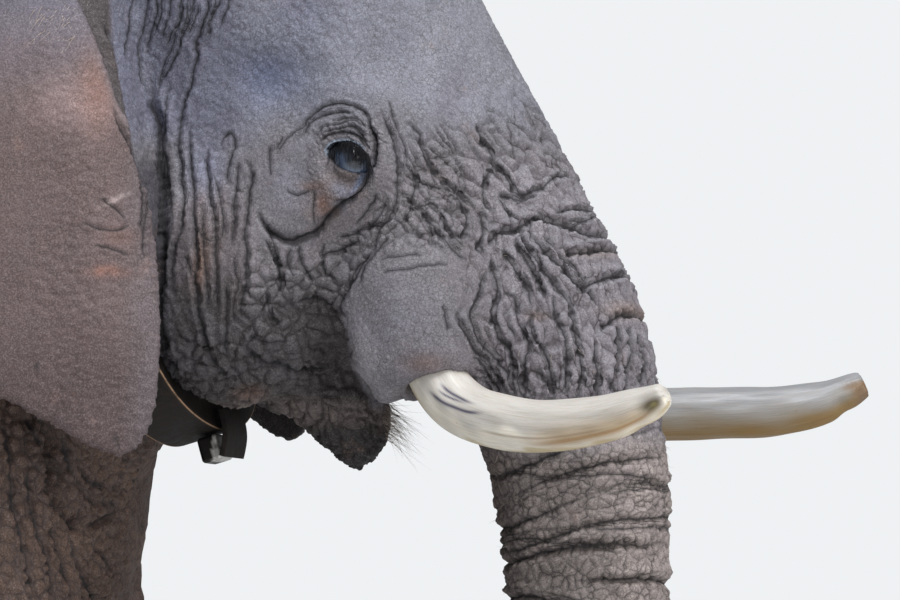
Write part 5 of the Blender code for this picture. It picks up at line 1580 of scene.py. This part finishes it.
def nails(side, end, material):
    if end == "fore":
        x, y, angles, reach = FORELEG_X[side] + 0.022, FORELEG_Y * side, FORE_NAILS, (0.222, 0.203)
    else:
        x, y, angles, reach = HINDLEG_X[side] + 0.015, HINDLEG_Y * 1.02 * side, HIND_NAILS, (0.210, 0.176)
    label = SIDES[side]
    for number, degrees in enumerate(angles, 1):
        a = math.radians(degrees)
        outward = math.atan2(side * math.sin(a) / reach[1], math.cos(a) / reach[0])
        centre = Vector((x + reach[0] * math.cos(a), y + side * reach[1] * math.sin(a), 0.052))
        bm = bmesh.new()
        bmesh.ops.create_uvsphere(bm, u_segments=36, v_segments=24, radius=1.0)
        for vertex in bm.verts:  # a nail is squarer than an egg, ridged across and worn flat below
            co = vertex.co
            co.y = math.copysign(abs(co.y) ** 0.85, co.y)
            co.z = math.copysign(abs(co.z) ** 0.80, co.z)
            co.x *= 1 + 0.025 * math.sin(co.z * 17)
            co.z = max(co.z, -0.97)
        turn = Matrix.Rotation(outward, 4, "Z") @ Matrix.Rotation(math.radians(-NAIL_LEAN), 4, "Y")
        size = Matrix.Diagonal((*NAIL_HALF, 1.0))
        bm.transform(Matrix.Translation(centre + ORIGIN) @ turn @ size)
        for vertex in bm.verts:
            vertex.co.z = max(vertex.co.z, 0.002)
        mesh = bpy.data.meshes.new("nail")
        bm.to_mesh(mesh)
        bm.free()
        shade_smooth(mesh)
        obj = add_object(f"toenail_{end}_{label}_{number}", mesh, material)
        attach(obj, "root")
        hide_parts(f"nail_{end}_{label}_{number}")


# ---------------------------------------------------------------- the collar
def belting_material():
    made, tree, shader = new_material("belting", Roughness=0.8, Specular_IOR_Level=0.15)
    place = object_place(tree)
    edge = attribute(tree, "edge", "Fac")
    weave = noise(tree, place, 700.0, 2.0, 0.7)
    wear = noise(tree, place, 55.0, 5.0, 0.75)
    colour = blend(tree, ramp(tree, wear, 0.35, 0.70), (0.014, 0.012, 0.012, 1), (0.036, 0.030, 0.026, 1))
    frayed = maths(tree, "MULTIPLY", edge, ramp(tree, wear, 0.36, 0.48, 0.3, 1.0))
    colour = blend(tree, frayed, colour, (0.46, 0.30, 0.19, 1))
    colour = blend(tree, ramp(tree, weave, 0.5, 0.8, 0.0, 0.4), colour, (0.075, 0.062, 0.052, 1))
    wire(tree, shader, Base_Color=colour)
    height = maths(tree, "ADD", maths(tree, "MULTIPLY", weave, 0.5), wear)
    wire(
        tree,
        shader,
        Normal=bump(tree, height, 0.0012, 0.7),
        Roughness=ramp(tree, wear, 0.3, 0.7, 0.55, 0.85),
    )
    return made


def steel_material():
    made, tree, shader = new_material("steel", Metallic=0.6, Roughness=0.4)
    unshaded = attribute(tree, "unshaded", "Fac")
    place = object_place(tree)
    brushed = noise(tree, vector_maths(tree, "MULTIPLY", place, (90.0, 900.0, 90.0)), 1.0, 3.0, 0.6)
    grime = noise(tree, place, 70.0, 4.0, 0.7)
    colour = blend(tree, brushed, (0.50, 0.49, 0.47, 1), (0.85, 0.84, 0.81, 1))
    colour = blend(tree, ramp(tree, grime, 0.48, 0.68, 0.0, 0.75), colour, (0.10, 0.075, 0.055, 1))
    # Painted shade: all but the front of the counterweight is near black.
    colour = blend(tree, unshaded, (0.020, 0.018, 0.017, 1), colour)
    wire(
        tree,
        shader,
        Base_Color=colour,
        Roughness=ramp(tree, grime, 0.35, 0.65, 0.28, 0.65),
        Normal=bump(tree, maths(tree, "ADD", brushed, grime), 0.0006, 0.5),
    )
    return made


def rounded(name, node_name, bevel, levels, material):
    """A finer copy of a solid with its edges rounded."""
    mesh = NODES[node_name].data.copy()
    with edited(mesh) as bm:
        bmesh.ops.remove_doubles(bm, verts=bm.verts, dist=WELD)
        bmesh.ops.dissolve_limit(bm, angle_limit=math.radians(1.5), verts=bm.verts, edges=bm.edges)
    obj = add_object(name, mesh, material)
    soft = obj.modifiers.new("round", "BEVEL")
    soft.width, soft.segments, soft.limit_method = bevel, 3, "ANGLE"
    soft.angle_limit = math.radians(30)
    if levels:
        finer = obj.modifiers.new("finer", "SUBSURF")
        finer.levels = finer.render_levels = levels
    applied(obj)
    shade_smooth(obj.data)
    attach(obj, "root")
    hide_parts(node_name)
    return obj


def make_collar():
    belting, steel = belting_material(), steel_material()
    band = rounded("collar_band", "collar_belt", 0.0016, 2, belting)
    points = points_of(band.data)
    across = belt_plane(points) / BELT_HALF
    outward = points - np.array((BELT_TOP + BELT_BOTTOM) / 2)
    outward /= np.linalg.norm(outward, axis=1)[:, None]
    facing = (normals_of(band.data) * outward).sum(axis=1)
    store(band.data, "edge", step(0.12, 0.35, facing) * step(0.93, 0.975, np.abs(across)))
    for name, source in (("collar_box", "collar_unit"), ("collar_strap_end", "collar_loose_end")):
        piece = rounded(name, source, 0.0015, 1, belting)
        store(piece.data, "edge", np.zeros(len(piece.data.vertices)))
    weight = rounded("collar_weight", "collar_counterweight", 0.0016, 2, steel)
    ahead = points_of(weight.data)[:, 0]
    # Only the front of the counterweight shows its steel; the rest gets painted shade.
    store(weight.data, "unshaded", step(0.60, 0.64, (ahead - ahead.min()) / np.ptp(ahead)))


# ---------------------------------------------------------------- the finished skin
def shape_head(obj):
    mesh = obj.data
    points = points_of(mesh)
    a, _ = eye_view(points)
    near_side = (points[:, 1] < 0.02) & (points[:, 0] > 0.12)
    face = near_side & (a > -0.36) & (points[:, 2] > 1.70) & (ear_share(points) < 0.5)
    rim = near_side & (points[:, 0] > 0.36) & (points[:, 1] < -0.3)
    refine(mesh, face | rim)
    for reach in (0.075, 0.062):
        points = points_of(mesh)
        off = np.hypot(points[:, 0] - EYE.x, points[:, 2] - EYE.z)
        refine(mesh, (off < reach) & (np.abs(points[:, 1]) > 0.2))
    web = Web(mesh)
    points = web.relaxed(points_of(mesh), 3, 0.5)
    set_points(mesh, points)
    normals = normals_of(mesh)
    height = np.zeros(len(points))
    sides = side_facing(points)
    ear = ear_share(points)
    flesh = 1 - ear
    swell(points, height, HEAD_FORMS, sides * flesh)
    points = points + normals * height[:, None]
    points = shape_lids(points)
    set_points(mesh, points)
    normals = normals_of(mesh)
    height[:] = 0
    found = Lines(len(points))
    a, b = points[:, 0] - EYE.x, points[:, 2] - EYE.z
    beside = np.clip(step(-0.0005, 0.002, lid_distance(a, b)[0]) + (np.abs(points[:, 1]) < 0.15), 0, 1)
    press(points, height, found, EYE_FOLDS, beside * flesh * sides)
    press(points, height, found, CHEEK_FOLDS, flesh * sides)
    press(points, height, found, ROOT_FOLDS, flesh * (1 - is_trunk(points)), lip=0.5)
    press(points, height, found, EAR_FOLDS, ear, lip=0.8)
    press(points, height, found, NECK_FOLDS, flesh * sides * step(0.50, 0.46, points[:, 0]))
    ring_trunk(points, height, found)
    points = points + normals * height[:, None]
    set_points(mesh, points)
    store(mesh, "rest", points, "FLOAT_VECTOR")
    for name, share in head_shares(points).items():
        store(mesh, name, np.clip(share, 0, 1.2) * beside)
    found.keep(mesh)
    store(mesh, "tint", head_tint(points), "FLOAT_COLOR")


def shape_body(obj):
    mesh = obj.data
    for reach in (0.0, 0.06):
        points = points_of(mesh)
        near = (points[:, 0] > reach) & (points[:, 2] > 1.45) & (points[:, 1] < 0.05)
        refine(mesh, near)
    web = Web(mesh)
    set_points(mesh, web.relaxed(points_of(mesh), 3, 0.5))
    points, normals = points_of(mesh), normals_of(mesh)
    height, found = np.zeros(len(points)), Lines(len(points))
    near_side = step(0.0, -0.05, points[:, 1]) * step(0.02, 0.06, points[:, 0])
    press(points, height, found, NECK_FOLDS, near_side * step(1.62, 1.70, points[:, 2]))
    points = points + normals * height[:, None]
    points[:, 2] = np.maximum(points[:, 2], 0.001)
    set_points(mesh, points)
    store(mesh, "rest", points, "FLOAT_VECTOR")
    for name, share in body_shares(points).items():
        store(mesh, name, np.clip(share, 0, 1.2))
    found.keep(mesh)
    store(mesh, "tint", body_tint(points), "FLOAT_COLOR")


# ---------------------------------------------------------------- sections of the skin
ATTRIBUTE_KEYS = {"FLOAT": ("value", 1), "FLOAT_VECTOR": ("vector", 3), "FLOAT_COLOR": ("color", 4)}


def section(source, name, chosen, nodes):
    """A piece of the skin; its border keeps the whole skin's points and shading, so that no seam shows."""
    mesh = source.data
    corners = np.empty(len(mesh.loops), np.int32)
    mesh.loops.foreach_get("vertex_index", corners)
    starts = np.empty(len(mesh.polygons), np.int32)
    mesh.polygons.foreach_get("loop_start", starts)
    totals = np.diff(np.append(starts, len(corners)))
    inside = np.repeat(chosen, totals)
    used, lines = np.unique(corners[inside], return_inverse=True)
    totals = totals[chosen]
    made = bpy.data.meshes.new(name)
    made.vertices.add(len(used))
    made.loops.add(len(lines))
    made.polygons.add(len(totals))
    made.vertices.foreach_set("co", (points_of(mesh)[used] + np.array(ORIGIN)).astype(np.float32).ravel())
    made.loops.foreach_set("vertex_index", lines.astype(np.int32))
    made.polygons.foreach_set("loop_start", np.concatenate([[0], np.cumsum(totals)[:-1]]).astype(np.int32))
    made.update(calc_edges=True)
    for kept in mesh.attributes:
        if kept.domain != "POINT" or kept.name == "position" or kept.name.startswith("."):
            continue
        key, width = ATTRIBUTE_KEYS[kept.data_type]
        values = np.empty(len(mesh.vertices) * width, np.float32)
        kept.data.foreach_get(key, values)
        copy = made.attributes.new(kept.name, kept.data_type, "POINT")
        copy.data.foreach_set(key, values.reshape(-1, width)[used].ravel())
    shade_smooth(made)
    made.normals_split_custom_set_from_vertices(normals_of(mesh)[used].tolist())
    obj = add_object(name, made, mesh.materials[0])
    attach(obj, "root")
    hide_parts(*nodes)


def cut_sections(source, sections):
    """Each face goes to the first section whose rule takes it in."""
    mesh = source.data
    points = points_of(mesh)
    middles = np.stack([face_means(mesh, points[:, k]) for k in range(3)], axis=1)
    left = np.ones(len(middles), bool)
    for name, rule, nodes in sections:
        chosen = left & rule(middles)
        left &= ~chosen
        section(source, name, chosen, nodes)
    bpy.data.objects.remove(source)
    bpy.data.meshes.remove(mesh)


def ear_of(side):
    return lambda p: (ear_share(p) > 0.5) & (p[:, 1] * side > 0)


def left_of_head(p):
    return (p[:, 1] > 0.0) & ((p[:, 0] < 0.95) & (p[:, 2] > 1.80) | (p[:, 2] > 2.2))


HEAD_SECTIONS = (
    ("skin_ear_right", ear_of(-1), ("ear_right",)),
    ("skin_ear_left", ear_of(1), ("ear_left",)),
    ("skin_head_left", left_of_head, ("head",)),
    ("skin_trunk_lower", lambda p: p[:, 2] < 1.55, ("trunk_low", "trunk_tip")),
    ("skin_trunk_upper", lambda p: (p[:, 0] > 0.83) & (p[:, 2] < 2.23), ("trunk_mid", "trunk_top")),
    ("skin_brow", lambda p: (p[:, 0] > 0.62) & (p[:, 2] > 2.23), ("head", "trunk_top")),
    ("skin_temple", lambda p: p[:, 2] > 2.36, ("head", "neck")),
    ("skin_cheek", lambda p: p[:, 0] > -9.0, ("head", "jaw", "neck", "chest")),
)
BODY_SECTIONS = (
    ("skin_chest", lambda p: (p[:, 0] > -0.33) & (p[:, 2] > 1.30),
     ("neck", "chest", "foreleg_upper_left", "foreleg_upper_right")),
    ("skin_forelegs", lambda p: (p[:, 0] > -0.50) & (p[:, 2] <= 1.30),
     ("foreleg_lower_left", "foreleg_lower_right", "forefoot_left", "forefoot_right")),
    ("skin_belly", lambda p: (p[:, 0] > -1.25) & (p[:, 2] > 0.9), ("belly",)),
    ("skin_hindlegs", lambda p: p[:, 2] < 1.15,
     ("hindleg_lower_left", "hindleg_lower_right", "hindfoot_left", "hindfoot_right")),
    ("skin_hindquarters", lambda p: p[:, 0] < 9.0, ("hindquarters", "tail")),
)

# ---------------------------------------------------------------- the whole elephant
place_camera()
light_studio()
head = make_head_ground()
body = make_body_ground(head)
shape_head(head)
shape_body(body)
HEAD_RELIEFS = ("pebble", "cells", "columns", "cheek", "puffs", "weave", "grid", "links", "leaf")
BODY_RELIEFS = ("diamond", "creases", "links")
press_reliefs(head, HEAD_RELIEFS, hide_material("hide_head", HEAD_RELIEFS))
press_reliefs(body, BODY_RELIEFS, hide_material("hide_body", BODY_RELIEFS))
make_hairs(head)
cut_sections(head, HEAD_SECTIONS)
cut_sections(body, BODY_SECTIONS)
ivory, wet, horn = ivory_material(), eye_material(), nail_material()
for side in (-1, 1):
    tusk(side, ivory)
    eyeball(side, wet)
    for end in ("fore", "hind"):
        nails(side, end, horn)
make_collar()

far = 300  # metres to the floor's edges
floor = mesh_from("floor", [(-far, -far, 0), (far, -far, 0), (far, far, 0), (-far, far, 0)], [(0, 1, 2, 3)])
floor_obj = add_object("floor", floor)
